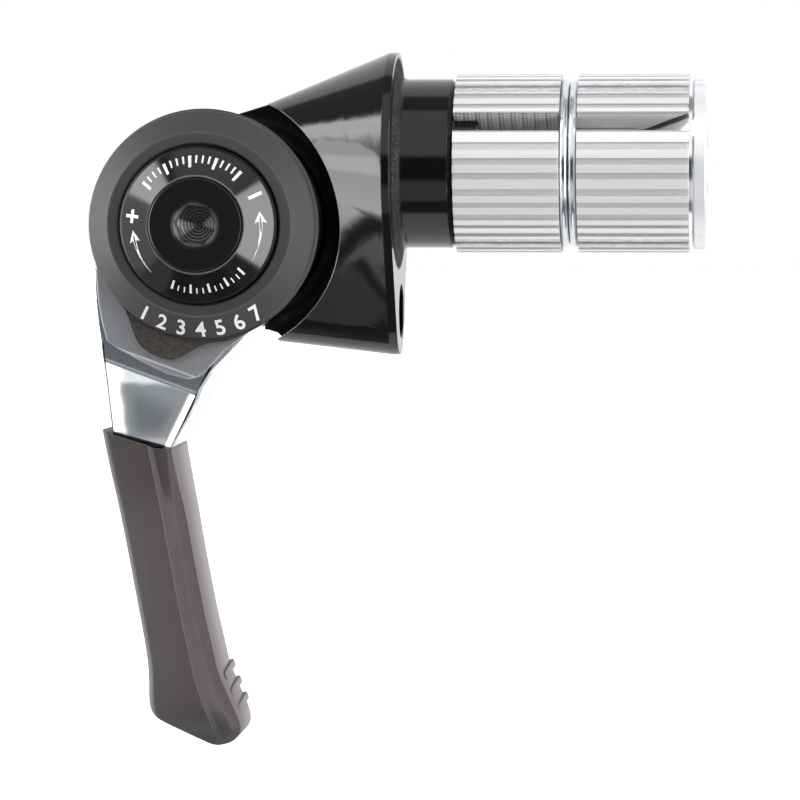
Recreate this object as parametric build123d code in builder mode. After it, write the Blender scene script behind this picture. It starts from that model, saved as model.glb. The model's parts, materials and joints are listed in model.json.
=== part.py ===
from build123d import *
import math
import os

# Bar-end shift lever: a bracket that plugs into the open end of a road
# handlebar, a friction lever with fine clicks that winds the gear cable, and a
# tension dial on the pivot.
#
# Frame (mm): the origin is where the handlebar's axis meets the bracket's
# flange face. +X runs into the handlebar, +Z is up, -Y is the front: the side
# the lever and its dial face.

os.makedirs("parts", exist_ok=True)

# ---------------------------------------------------------------- dimensions
# pivot of the lever, parallel to Y
PIVOT_X = -20.15
PIVOT_Z = -6.6

FIT = 0.02               # gap between parts that sit in or on each other
RUN = 0.05               # radial running clearance

# bracket
FLANGE_R = 12.1          # covers the end of a 23.8 mm handlebar
LOBE_R = 5.7             # lower lobe that holds the cable housing
LOBE_Y = 2.2
LOBE_Z = -15.3
RIM_T = 0.9              # straight band at the flange
SHELL_X = -15.5          # where the lofted shell ends
SHELL_TOP = 6.45
SHELL_BOTTOM = -19.45
SHELL_R = 5.65           # rounding of the shell's end section
SHELL_Y = 4.45           # depth of that section's middle
PLATE_FRONT = 5.5        # floor of the lever pocket
PLATE_BACK = 10.5
PLATE_R = 11.9
BOSS_R = 7.6
BOSS_T = 1.0
POCKET_R = 14.25
STUB_R = 9.2
STUB_FOOT = 0.9          # how far the stub flares at the flange
STUB_END = 6.3
STUB_CHAMFER = 0.4
KEY_W = 1.9
KEY_INNER_R = 5.5
KEY_R = 8.0
KEY_END = 9.2
KEY_ROOT = 0.5           # overlap of the keys with the stub

# cable housing socket
SOCKET_R = 3.0           # 6 mm housing ferrule
SOCKET_Y = 3.0
SOCKET_Z = -16.2
SOCKET_DEPTH = 5.8
BUSH_R = 2.5
BUSH_T = 1.4
CABLE_R = 1.1
CABLE_DEPTH = 14.0

# expander bolt
BOLT_R = 4.0             # 8 mm left-hand thread, 1.25 mm pitch
BOLT_HEAD_R = 5.15
BOLT_HEAD_X0 = -3.9
BOLT_HEAD_X1 = 1.1
BOLT_HEX = 6.0           # across flats
BOLT_HEX_DEPTH = 3.2
BOLT_END = 29.0
BOLT_TIP = 0.8           # chamfer at the thread's end
BOLT_BORE_R = 4.2
HEAD_BORE_R = 5.3
SEAT_X = 2.0

# expander segments and wedge
SEG_X0 = 6.5
SEG_X1 = 31.7
SEG_R = 9.7
SEG_BORE_R = 5.3
SLOT_W = 2.1
SLOT_ANGLES = (27.0, 147.0, 267.0)   # about +X, from -Y towards +Z
HALF_SECTOR = 60.0       # from a segment's middle to its slots
GROOVE_X0 = 17.85
GROOVE_X1 = 19.75
GROOVE_R = 8.2
RAMP_X = 19.45           # the ramp's cone starts here
RAMP_SLOPE = 0.75        # and widens by this per mm
RAMP_SHIFT = 1.3         # the ramp's axis lies this far across the plug's axis
RAMP_END = 34.0
WEDGE_GAP = 0.06
WEDGE_BORE_R = BOLT_R + 0.03
WEDGE_SLEEVE_R = 5.0
WEDGE_SLEEVE_X0 = 18.4
WEDGE_NECK_R = 9.05
WEDGE_RIM_R = 9.3
WEDGE_RIM_X0 = 32.2
WEDGE_END = 33.6
RIB_MIDDLE_R = 5.4
RIB_HEIGHT = 1.6
RIB_LENGTH = 7.5
RING_WIRE_R = 0.45
RING_MAJOR_R = 8.72
RING_OFFSET = 0.48       # from the groove's middle to each ring

# pivot stack; stations are in Y
POST_R = 4.5
POST_FLAT = 3.8          # from the axis to each flat
POST_FRONT = -11.7
POST_HEAD_R = 6.0        # seat of the post's head
POST_HEAD_SEAT = PLATE_BACK - 1.5
FLATS_BACK = -2.9
FIX_R = 3.0              # 6 mm fixing bolt
FIX_HEX = 4.0            # across flats
HEAD_R = 4.95
HEAD_FRONT = -17.0
HEAD_BACK = -12.5
DIAL_R = 8.4
COVER_R = 12.4
COVER_BORE_R = 8.55
DRUM_R = 11.2
DRUM_BACK = 4.68
DRUM_FRONT = 1.0
CABLE_GROOVE_R = 8.9
DOG_RADIUS = 7.9         # pivot to the middle of each drum dog
DOG_X = 2.6
DOG_Z = 3.0
DOG_GAP = 0.1            # how much larger the slots are
STOP_R = 0.9
STOP_RADIUS = 6.9
STOP_ANGLE = 20.0        # from +X towards +Z
STOP_BACK = 8.5
LEVER_TRAVEL = 110.0
STOP_MARGIN = 8.5        # degrees of groove past each end of the travel
STOP_GROOVE_INNER = 5.75
STOP_GROOVE_OUTER = 8.05

# lever hub, neck and grip
HUB_R = 11.0
HUB_BACK = 0.95
HUB_BORE_R = 5.5
HUB_PLATE_R = 12.2
HUB_PLATE_BACK = -7.9
HUB_PLATE_FRONT = -9.8
CAVITY_R = 9.0           # holds the click and friction parts
CAVITY_BACK = -3.0
NECK_FALL = math.radians(20)
TANG_HALF_T = 5.4
TANG_GAP = 0.05
GRIP_HALF_T = 7.0

RATCHET_TEETH = 40
TOOTH_ROOT_R = 7.75
TOOTH_TIP_R = 7.3

PIVOT_AXIS = Axis((PIVOT_X, 0, PIVOT_Z), (0, 1, 0))
# local x = radius from the pivot, local y = world Y
PIVOT_SECTION = Plane(origin=(PIVOT_X, 0, PIVOT_Z), x_dir=(1, 0, 0), z_dir=(0, 0, 1))


# ---------------------------------------------------------------- helpers
def across_pivot(y):
    """Plane at depth y, centred on the pivot: local x = X, local y = Z, normal -Y."""
    return Plane(origin=(PIVOT_X, y, PIVOT_Z), x_dir=(1, 0, 0), z_dir=(0, -1, 0))


def around_pivot(radius, degrees):
    """Point in an across_pivot sketch, degrees from +X towards +Z."""
    angle = math.radians(degrees)
    return (radius * math.cos(angle), radius * math.sin(angle))


def around_bar(radius, degrees):
    """Point (y, z) about the handlebar's axis, degrees from -Y towards +Z."""
    angle = math.radians(degrees)
    return (-radius * math.cos(angle), radius * math.sin(angle))


def slot_plane(x, degrees):
    """Plane across the handlebar's axis at x, its local x pointing along a slot."""
    return Plane(origin=(x, 0, 0), x_dir=(0, *around_bar(1, degrees)), z_dir=(1, 0, 0))


def save(piece, name):
    piece.part.label = name
    export_step(piece.part, f"parts/{name}.step")


def save_washer(name, plane, outer_r, bore_r, thickness, centre=(0, 0)):
    with BuildPart() as washer:
        with BuildSketch(plane):
            with Locations(centre):
                Circle(outer_r)
                Circle(bore_r, mode=Mode.SUBTRACT)
        extrude(amount=thickness)
    save(washer, name)


def save_turned(name, profile):
    """A piece turned about the pivot from (radius, y) points."""
    with BuildPart() as piece:
        with BuildSketch(PIVOT_SECTION):
            with BuildLine():
                Polyline(*profile, close=True)
            make_face()
        revolve(axis=PIVOT_AXIS)
    save(piece, name)


def flange_lines():
    """Keyhole outline in YZ: the flange circle and the lobe, joined by tangents."""
    lean = math.atan2(LOBE_Z, LOBE_Y)
    spread = math.acos((FLANGE_R - LOBE_R) / math.hypot(LOBE_Y, LOBE_Z))

    def on_flange(angle):
        return (FLANGE_R * math.cos(angle), FLANGE_R * math.sin(angle))

    def on_lobe(angle):
        return (LOBE_Y + LOBE_R * math.cos(angle), LOBE_Z + LOBE_R * math.sin(angle))

    front, back = lean - spread, lean + spread
    ThreePointArc(on_flange(front), on_flange(lean + math.pi), on_flange(back))
    Line(on_flange(back), on_lobe(back))
    ThreePointArc(on_lobe(back), on_lobe(lean), on_lobe(front))
    Line(on_lobe(front), on_flange(front))


def keyed_hole_lines():
    """Outline of a hole that fits the post's two flats."""
    radius = POST_R + RUN
    x = POST_FLAT + RUN
    z = math.sqrt(radius**2 - x**2)
    Line((x, -z), (x, z))
    ThreePointArc((x, z), (0, radius), (-x, z))
    Line((-x, z), (-x, -z))
    ThreePointArc((-x, -z), (0, -radius), (x, -z))


# ---------------------------------------------------------------- bracket
# side plate's edge towards the handlebar, (x, z) from the pivot
PLATE_EDGE = [
    (1.5, 12.1), (5.75, 13.4), (10.0, 11.5), (10.0, -9.0), (6.5, -12.3), (5.6, -10.5), (0, 0),
]
# space cut away below the pocket, (x, z) from the origin
LOWER_CUT = [
    (-24, -18.4), (-15.1, -18.4), (-14.05, -18.72), (-13.65, -19.1), (-13.65, -23), (-24, -23),
]

with BuildPart() as bracket_body:
    # the shell that narrows to the pocket, then the flange band
    with BuildSketch(Plane.YZ.offset(-RIM_T)):
        with BuildLine():
            flange_lines()
        make_face()
    with BuildSketch(Plane.YZ.offset(SHELL_X)):
        front, back = SHELL_Y - SHELL_R, SHELL_Y + SHELL_R
        high, low = SHELL_TOP - SHELL_R, SHELL_BOTTOM + SHELL_R
        with BuildLine():
            ThreePointArc((front, high), (SHELL_Y, SHELL_TOP), (back, high))
            Line((back, high), (back, low))
            ThreePointArc((back, low), (SHELL_Y, SHELL_BOTTOM), (front, low))
            Line((front, low), (front, high))
        make_face()
    loft(ruled=True)
    with BuildSketch(Plane.YZ.offset(-RIM_T)):
        with BuildLine():
            flange_lines()
        make_face()
    extrude(amount=RIM_T)
    # side plate behind the lever
    with BuildSketch(across_pivot(PLATE_BACK)):
        Circle(PLATE_R)
        with BuildLine():
            Polyline(*PLATE_EDGE, close=True)
        make_face()
    extrude(amount=PLATE_BACK - PLATE_FRONT)
    # boss on the back of the plate
    with BuildSketch(across_pivot(PLATE_BACK)):
        Circle(BOSS_R)
    extrude(amount=-BOSS_T)
    # pocket for the lever's hub, and the free space left of the shell
    with BuildSketch(across_pivot(PLATE_FRONT)):
        Circle(POCKET_R)
    extrude(amount=40, mode=Mode.SUBTRACT)
    with BuildSketch(Plane.XZ.offset(-20)):
        with BuildLine():
            Polyline(*LOWER_CUT, close=True)
        make_face()
    extrude(amount=40, mode=Mode.SUBTRACT)
    # stub that enters the handlebar
    with BuildSketch(Plane.XY):
        with BuildLine():
            Polyline(
                (-1.0, 0), (-1.0, STUB_R + STUB_FOOT), (0.0, STUB_R + STUB_FOOT),
                (0.25, STUB_R + 0.45), (0.55, STUB_R + 0.15), (1.0, STUB_R),
                (STUB_END - STUB_CHAMFER, STUB_R), (STUB_END, STUB_R - STUB_CHAMFER),
                (STUB_END, 0), close=True,
            )
        make_face()
    revolve(axis=Axis.X)
    # three keys that stand in the plug's slots
    for angle in SLOT_ANGLES:
        with BuildSketch(slot_plane(STUB_END - KEY_ROOT, angle)):
            with Locations(((KEY_R + KEY_INNER_R) / 2, 0)):
                Rectangle(KEY_R - KEY_INNER_R, KEY_W)
        extrude(amount=KEY_END - STUB_END + KEY_ROOT)
    # bores along the handlebar's axis: bolt head from the pocket, shank through the stub
    with BuildSketch(Plane.YZ.offset(SEAT_X)):
        Circle(HEAD_BORE_R)
    extrude(amount=-30, mode=Mode.SUBTRACT)
    with BuildSketch(Plane.YZ.offset(SEAT_X - 1)):
        Circle(BOLT_BORE_R)
    extrude(amount=10, mode=Mode.SUBTRACT)
    # housing socket in the lower lobe, seat of its bush, and the cable's way to the drum
    for radius, depth in (
        (SOCKET_R, SOCKET_DEPTH), (BUSH_R, SOCKET_DEPTH + BUSH_T), (CABLE_R, CABLE_DEPTH),
    ):
        with BuildSketch(Plane.YZ):
            with Locations((SOCKET_Y, SOCKET_Z)):
                Circle(radius)
        extrude(amount=-depth, mode=Mode.SUBTRACT)
    # seat of the pivot post, entered from the back, and the stop pin's hole
    boss_back = PLATE_BACK + BOSS_T
    for radius, depth in ((POST_HEAD_R, boss_back - POST_HEAD_SEAT), (POST_R, 12)):
        with BuildSketch(across_pivot(boss_back)):
            Circle(radius)
        extrude(amount=depth, mode=Mode.SUBTRACT)
    with BuildSketch(across_pivot(STOP_BACK)):
        with Locations(around_pivot(STOP_RADIUS, STOP_ANGLE)):
            Circle(STOP_R)
    extrude(amount=6, mode=Mode.SUBTRACT)
save(bracket_body, "bracket_body")

# ---------------------------------------------------------------- fixed pivot parts
with BuildPart() as pivot_post:
    with BuildSketch(PIVOT_SECTION):
        head_r, shank_r = POST_HEAD_R - FIT, POST_R - FIT
        head_back, head_front = PLATE_BACK + 0.6, POST_HEAD_SEAT + FIT
        tip_chamfer = 0.3
        with BuildLine():
            Polyline(
                (0, head_back), (head_r, head_back), (head_r, head_front),
                (shank_r, head_front), (shank_r, POST_FRONT + tip_chamfer),
                (shank_r - tip_chamfer, POST_FRONT), (0, POST_FRONT), close=True,
            )
        make_face()
    revolve(axis=PIVOT_AXIS)
    # two flats for the keyed washers
    with BuildSketch(across_pivot(FLATS_BACK)):
        with Locations((POST_FLAT + 5, 0), (-POST_FLAT - 5, 0)):
            Rectangle(10, 20)
    extrude(amount=12, mode=Mode.SUBTRACT)
    # threaded bore for the fixing bolt
    with BuildSketch(across_pivot(-12)):
        Circle(FIX_R + FIT)
    extrude(amount=-15, mode=Mode.SUBTRACT)
save(pivot_post, "pivot_post")

with BuildPart() as stop_pin:
    with BuildSketch(across_pivot(STOP_BACK - 0.05)):
        with Locations(around_pivot(STOP_RADIUS, STOP_ANGLE)):
            Circle(STOP_R - FIT)
    extrude(amount=5.0)
save(stop_pin, "stop_pin")

with BuildPart() as base_washer:
    with BuildSketch(across_pivot(PLATE_FRONT)):
        Circle(10.6)
        Circle(POST_R + RUN, mode=Mode.SUBTRACT)
        with Locations(around_pivot(STOP_RADIUS, STOP_ANGLE)):
            Circle(STOP_R + 0.1, mode=Mode.SUBTRACT)
    extrude(amount=0.8)
save(base_washer, "base_washer")

save_washer(
    "cable_bush", Plane.YZ.offset(-(SOCKET_DEPTH + BUSH_T)), outer_r=BUSH_R - 0.03, bore_r=0.8,
    thickness=BUSH_T - 0.05, centre=(SOCKET_Y, SOCKET_Z),
)

# ---------------------------------------------------------------- lever and drum
with BuildPart() as cable_drum:
    with BuildSketch(PIVOT_SECTION):
        with BuildLine():
            Polyline(
                (HUB_BORE_R, DRUM_BACK), (DRUM_R, DRUM_BACK), (DRUM_R, 4.2),
                (CABLE_GROOVE_R, 3.8), (CABLE_GROOVE_R, 2.2), (DRUM_R, 1.8),
                (DRUM_R, DRUM_FRONT), (HUB_BORE_R, DRUM_FRONT), close=True,
            )
        make_face()
    revolve(axis=PIVOT_AXIS)
    # two dogs that drive it with the lever
    with BuildSketch(across_pivot(DRUM_FRONT + 0.2)):
        with Locations((DOG_RADIUS, 0), (-DOG_RADIUS, 0)):
            Rectangle(DOG_X, DOG_Z)
    extrude(amount=2.2)
    # arc groove for the stop pin
    with BuildSketch(across_pivot(4.8)):
        start = STOP_ANGLE - STOP_MARGIN
        end = STOP_ANGLE + LEVER_TRAVEL + STOP_MARGIN
        inner = [around_pivot(STOP_GROOVE_INNER, a) for a in (start, (start + end) / 2, end)]
        outer = [around_pivot(STOP_GROOVE_OUTER, a) for a in (end, (start + end) / 2, start)]
        with BuildLine():
            ThreePointArc(*inner)
            Line(inner[-1], outer[0])
            ThreePointArc(*outer)
            Line(outer[-1], inner[0])
        make_face()
    extrude(amount=1.6, mode=Mode.SUBTRACT)
    # seat of the cable's barrel nipple, crossing the groove
    with BuildSketch(across_pivot(5)):
        with Locations(around_pivot(CABLE_GROOVE_R, 205)):
            Circle(2.0)
    extrude(amount=4.2, mode=Mode.SUBTRACT)
save(cable_drum, "cable_drum")

bush_r, bush_back = HUB_BORE_R - RUN, DRUM_BACK - FIT
save_turned("lever_bush", [
    (POST_R + RUN, bush_back), (bush_r, bush_back), (bush_r, FLATS_BACK),
    (POST_R + RUN, FLATS_BACK),
])

# outlines of the lever and grip, (x, z) from the pivot
PLATE_CORNER = [
    (-11.75, -2.6), (-11.72, -5.7), (-11.55, -8.0), (-11.2, -10.2), (-10.6, -12.55),
    (-9.6, -13.25), (-6.95, -14.7), (-4.2, -16.0), (-1.9, -16.6), (-0.7, -16.3),
    (0.5, -15.4), (2.25, -13.45), (3.9, -12.25), (6.0, -10.7), (0, 0),
]
NECK = [
    (-12.1, -2.5), (-12.1, -5.7), (-12.0, -8.3), (-11.72, -11.0), (-11.32, -13.4),
    (-11.05, -15.9), (-10.78, -19.1), (-10.45, -23.0), (-10.3, -24.6), (-4.6, -25.6),
    (-4.15, -24.3), (-2.8, -21.9), (-1.55, -19.8), (-0.85, -17.9), (0.3, -16.05),
    (3.2, -13.05), (5.65, -10.5), (0, 0),
]
TANG = [
    (-10.2, -22.0), (-9.0, -28.6), (-7.4, -37.3), (-5.75, -45.0), (-5.3, -49.0), (-5.35, -52.2),
    (-1.6, -54.4), (0.6, -54.6), (0.3, -51.5), (-0.9, -47.0), (-1.9, -42.4), (-3.3, -34.9),
    (-4.9, -26.5), (-4.9, -22.0),
]
TANG_HOLE = [
    (-10.35, -20.0), (-10.24, -22.0), (-9.04, -28.6), (-7.44, -37.3), (-5.79, -45.0),
    (-5.34, -49.0), (-5.39, -52.23), (-1.6, -54.45), (0.65, -54.65), (0.34, -51.5),
    (-0.86, -47.0), (-1.86, -42.4), (-3.26, -34.9), (-4.86, -26.5), (-4.86, -20.0),
]
NECK_HOLE = [
    (-10.75, -20), (-10.5, -23.0), (-10.35, -24.7), (-4.55, -25.75), (-4.05, -24.3),
    (-2.0, -21.0),
]
GRIP = [
    (-12.3, -22.85), (-11.55, -27.6), (-10.35, -33.2), (-9.15, -39.7), (-8.2, -44.5),
    (-7.55, -48.8), (-7.5, -51.3), (-7.45, -53.2), (-7.0, -54.6), (-5.1, -55.6), (-0.9, -57.9),
    (0.4, -58.1), (2.1, -57.5), (3.0, -56.6), (3.2, -55.5), (2.7, -53.2), (1.75, -51.0),
    (0.75, -48.8), (0.2, -46.4), (-0.6, -42.6), (-2.0, -35.2), (-3.4, -28.4), (-4.3, -24.8),
    (-7.6, -24.0),
]
# raised bars: x and z from the pivot, degrees their normal tilts from +X towards +Z
GRIP_BARS = [(1.0, -49.4, 20.0), (1.75, -51.1, 24.0), (2.6, -52.9, 27.0)]
# edge of the cut behind the neck: world y, z from the pivot
NECK_BACK = [(3.6, -12.5), (4.1, -16.0), (5.3, -22.0), (5.4, -24.0), (5.4, -28.0), (8, -28.0)]

# plane across the neck's falling front face: local x = world Y, local y = up the face
neck_plane = Plane(
    origin=(PIVOT_X - 20.0, 0, PIVOT_Z - 11.38),
    x_dir=(0, 1, 0),
    z_dir=(math.cos(NECK_FALL), 0, -math.sin(NECK_FALL)),
)
with BuildPart() as lever_arm:
    # neck below the hub; its back falls away towards the hub
    with BuildSketch(across_pivot(5.6)):
        with BuildLine():
            Polyline(*NECK, close=True)
        make_face()
    extrude(amount=14.2)
    with BuildSketch(Plane.YZ.offset(-40)):
        with BuildLine():
            back_edge = [(y, PIVOT_Z + z) for y, z in NECK_BACK]
            Polyline((3.6, 5), *back_edge, (8, 5), close=True)
        make_face()
    extrude(amount=40, mode=Mode.SUBTRACT)
    # hub plate
    with BuildSketch(across_pivot(HUB_PLATE_BACK)):
        Circle(HUB_PLATE_R)
        with BuildLine():
            Polyline(*PLATE_CORNER, close=True)
        make_face()
    extrude(amount=HUB_PLATE_BACK - HUB_PLATE_FRONT)
    # hub barrel
    with BuildSketch(across_pivot(HUB_BACK)):
        Circle(HUB_R)
    extrude(amount=9.0)
    # the band under the plate, then the long face that falls away to the grip
    with BuildSketch(neck_plane):
        with BuildLine():
            Line((-9.9, 1.95), (-9.75, 1.85))
            ThreePointArc((-9.75, 1.85), (-8.95, 1.2), (-8.6, 0.15))
            Line((-8.6, 0.15), (-8.35, -0.25))
            ThreePointArc((-8.35, -0.25), (-7.35, -4.5), (-6.75, -9.0))
            Line((-6.75, -9.0), (-6.3, -14.0))
            Line((-6.3, -14.0), (-14, -14.0))
            Line((-14, -14.0), (-14, 1.95))
            Line((-14, 1.95), (-9.9, 1.95))
        make_face()
    extrude(amount=24, mode=Mode.SUBTRACT)
    # tang inside the rubber grip
    with BuildSketch(across_pivot(TANG_HALF_T)):
        with BuildLine():
            Polyline(*TANG, close=True)
        make_face()
    extrude(amount=2 * TANG_HALF_T)
    # cavity for the click and friction parts, open to the front
    with BuildSketch(across_pivot(CAVITY_BACK)):
        Circle(CAVITY_R)
    extrude(amount=12, mode=Mode.SUBTRACT)
    # bore for the bush, room for the drum, slots for the drum's dogs
    with BuildSketch(across_pivot(5)):
        Circle(HUB_BORE_R)
    extrude(amount=20, mode=Mode.SUBTRACT)
    with BuildSketch(across_pivot(5)):
        Circle(DRUM_R + 0.25)
    extrude(amount=5 - HUB_BACK, mode=Mode.SUBTRACT)
    with BuildSketch(across_pivot(DRUM_FRONT)):
        with Locations((DOG_RADIUS, 0), (-DOG_RADIUS, 0)):
            Rectangle(DOG_X + DOG_GAP, DOG_Z + DOG_GAP)
    extrude(amount=2.1, mode=Mode.SUBTRACT)
save(lever_arm, "lever_arm")

# rubber sleeve on the tang: faceted tube that flares into a thumb foot
with BuildPart() as rubber_grip:
    with BuildSketch(across_pivot(GRIP_HALF_T)):
        with BuildLine():
            Polyline(*GRIP, close=True)
        make_face()
    extrude(amount=2 * GRIP_HALF_T)
    # long corners taken off, front and back
    long_edges = rubber_grip.edges().filter_by(
        lambda edge: abs(abs(edge.center().Y) - GRIP_HALF_T) < 0.01
        and edge.center().Z < PIVOT_Z - 24.8
    )
    chamfer(long_edges, length=1.6, length2=1.9)
    # room for the tang and for the end of the neck
    with BuildSketch(across_pivot(TANG_HALF_T + TANG_GAP)):
        with BuildLine():
            Polyline(*TANG_HOLE, close=True)
        make_face()
    extrude(amount=2 * (TANG_HALF_T + TANG_GAP), mode=Mode.SUBTRACT)
    with BuildSketch(across_pivot(5.5)):
        with BuildLine():
            Polyline(*NECK_HOLE, close=True)
        make_face()
    extrude(amount=12.45, mode=Mode.SUBTRACT)
    # three raised bars under the thumb
    for x, z, tilt in GRIP_BARS:
        bar_plane = Plane(
            origin=(PIVOT_X + x, 0, PIVOT_Z + z),
            x_dir=(0, 1, 0),
            z_dir=(math.cos(math.radians(tilt)), 0, math.sin(math.radians(tilt))),
        )
        with BuildSketch(bar_plane):
            RectangleRounded(7.0, 1.0, 0.45)
        extrude(amount=0.5, both=True)
save(rubber_grip, "rubber_grip")

# ---------------------------------------------------------------- click and friction parts
with BuildPart() as ratchet_ring:
    with BuildSketch(across_pivot(CAVITY_BACK - FIT)):
        Circle(CAVITY_R - 0.03)
        with BuildLine():
            pitch = 360.0 / RATCHET_TEETH
            teeth = []
            for i in range(RATCHET_TEETH):
                teeth.append(around_pivot(TOOTH_TIP_R, i * pitch))
                teeth.append(around_pivot(TOOTH_ROOT_R, (i + 0.5) * pitch))
            Polyline(*teeth, close=True)
        make_face(mode=Mode.SUBTRACT)
    extrude(amount=1.95)
save(ratchet_ring, "ratchet_ring")

# finger of the click spring: radius, degrees
CLICK_FINGER = [(5.7, 20), (6.7, 35), (7.15, 62), (6.85, 66), (6.2, 50), (5.0, 50)]

with BuildPart() as click_spring:
    with BuildSketch(across_pivot(-3.4)):
        Circle(5.9)
        # two fingers that lie beside the teeth
        for side in (0, 180):
            with BuildLine():
                Polyline(*[around_pivot(r, a + side) for r, a in CLICK_FINGER], close=True)
            make_face()
        with BuildLine():
            keyed_hole_lines()
        make_face(mode=Mode.SUBTRACT)
    extrude(amount=0.8)
save(click_spring, "click_spring")

save_washer("friction_washer", across_pivot(-4.99), outer_r=8.8, bore_r=5.2, thickness=0.5)

with BuildPart() as keyed_washer:
    with BuildSketch(across_pivot(-5.51)):
        Circle(8.6)
        with BuildLine():
            keyed_hole_lines()
        make_face(mode=Mode.SUBTRACT)
    extrude(amount=0.69)
save(keyed_washer, "keyed_washer")

save_turned("disc_spring", [(5.0, -7.36), (5.0, -6.92), (8.5, -6.22), (8.5, -6.66)])

with BuildPart() as pressure_plate:
    # wide disc, then the narrower step in front of it
    for y, radius, thickness in ((-7.38, 8.5, 1.02), (-8.3, 6.55, 1.7)):
        with BuildSketch(across_pivot(y)):
            Circle(radius)
        extrude(amount=thickness)
    with BuildSketch(across_pivot(-7)):
        with BuildLine():
            keyed_hole_lines()
        make_face()
    extrude(amount=5, mode=Mode.SUBTRACT)
save(pressure_plate, "pressure_plate")

# ---------------------------------------------------------------- front of the pivot
COVER_BACK = HUB_PLATE_FRONT - FIT
# lower edge of the cover ring's tab, (x, z) from the pivot
TAB = [
    (-9.12, -8.2), (-8.1, -9.8), (-7.55, -11.4), (-6.95, -12.7), (-5.9, -13.65), (-4.6, -14.25),
    (-3.3, -14.48), (-2.35, -14.15), (-1.1, -13.45), (0.3, -12.8), (2.4, -12.5), (4.4, -11.75),
    (6.4, -10.7),
]

with BuildPart() as cover_ring:
    with BuildSketch(PIVOT_SECTION):
        with BuildLine():
            Polyline(
                (9.1, COVER_BACK), (COVER_R - 0.02, COVER_BACK), (COVER_R, -9.9),
                (COVER_R, -10.45), (12.2, -10.65), (12.2, -11.75), (12.05, -12.0),
                (9.83, -13.95), (9.72, -13.9), (9.6, -13.93), (8.75, -14.1),
                (COVER_BORE_R, -13.9), (COVER_BORE_R, -11.3), (9.1, -11.1), close=True,
            )
        make_face()
    revolve(axis=PIVOT_AXIS)
    # tab that lies in the lever's corner and turns the ring with it
    with BuildSketch(across_pivot(COVER_BACK)):
        with BuildLine():
            Spline(*TAB)
            Line(TAB[-1], (7.3, -8.2))
            ThreePointArc((7.3, -8.2), (0, -10.9), (-7.3, -8.2))
            Line((-7.3, -8.2), TAB[0])
        make_face()
    extrude(amount=1.35)
save(cover_ring, "cover_ring")

dial_bore_r = POST_R + 0.06
dial_head_bore_r = HEAD_R + 0.08
dial_step = -11.65       # between the two bores
save_turned("tension_dial", [
    (dial_bore_r, -10.5), (6.65, -10.5), (6.65, -9.0), (8.2, -9.0), (DIAL_R, -9.2),
    (DIAL_R, -12.1), (7.5, -12.1), (7.5, -13.2), (DIAL_R, -13.2), (DIAL_R, -14.35),
    (8.2, -14.6), (5.22, -16.6), (5.12, -16.62), (dial_head_bore_r, -16.55),
    (dial_head_bore_r, dial_step), (dial_bore_r, dial_step),
])

with BuildPart() as dial_seal:
    with BuildSketch(PIVOT_SECTION):
        with Locations((8.02, -12.65)):
            Circle(0.5)
    revolve(axis=PIVOT_AXIS)
save(dial_seal, "dial_seal")

save_washer(
    "top_washer", across_pivot(POST_FRONT - 0.01), outer_r=HEAD_R - FIT, bore_r=FIX_R + 0.06,
    thickness=0.78,
)

with BuildPart() as fixing_bolt:
    with BuildSketch(PIVOT_SECTION):
        underside = HEAD_BACK - 0.01
        with BuildLine():
            Polyline(
                (0, HEAD_FRONT), (HEAD_R - 0.1, HEAD_FRONT), (HEAD_R, HEAD_FRONT + 0.1),
                (HEAD_R, underside), (FIX_R, underside), (FIX_R, 2.2), (FIX_R - 0.6, 2.8),
                (0, 2.8), close=True,
            )
        make_face()
    revolve(axis=PIVOT_AXIS)
    with BuildSketch(across_pivot(HEAD_FRONT)):
        RegularPolygon(radius=FIX_HEX / 2, side_count=6, major_radius=False, rotation=-8)
    extrude(amount=-2.6, mode=Mode.SUBTRACT)
    # drilled bottom of the socket, then its lead-in chamfer
    for profile in (
        [(0, -15), (1.95, -15), (1.95, -14.15), (0, -13.1)],
        [(0, -17.5), (3.08, -17.5), (2.08, -16.5), (0, -16.5)],
    ):
        with BuildSketch(PIVOT_SECTION):
            with BuildLine():
                Polyline(*profile, close=True)
            make_face()
        revolve(axis=PIVOT_AXIS, mode=Mode.SUBTRACT)
save(fixing_bolt, "fixing_bolt")

# ---------------------------------------------------------------- expander
with BuildPart() as expander_bolt:
    with BuildSketch(Plane.XY):
        with BuildLine():
            Polyline(
                (BOLT_HEAD_X0, 0), (BOLT_HEAD_X0, BOLT_HEAD_R - 0.3),
                (BOLT_HEAD_X0 + 0.3, BOLT_HEAD_R), (BOLT_HEAD_X1, BOLT_HEAD_R),
                (BOLT_HEAD_X1, BOLT_R), (BOLT_END - BOLT_TIP, BOLT_R),
                (BOLT_END, BOLT_R - BOLT_TIP), (BOLT_END, 0), close=True,
            )
        make_face()
    revolve(axis=Axis.X)
    with BuildSketch(Plane.YZ.offset(BOLT_HEAD_X0)):
        RegularPolygon(radius=BOLT_HEX / 2, side_count=6, major_radius=False)
    extrude(amount=BOLT_HEX_DEPTH, mode=Mode.SUBTRACT)
save(expander_bolt, "expander_bolt")

save_washer(
    "bolt_washer", Plane.YZ.offset(BOLT_HEAD_X1 + FIT), outer_r=HEAD_BORE_R - 0.05,
    bore_r=BOLT_R + 0.08, thickness=SEAT_X - BOLT_HEAD_X1 - 2 * FIT,
)

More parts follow.
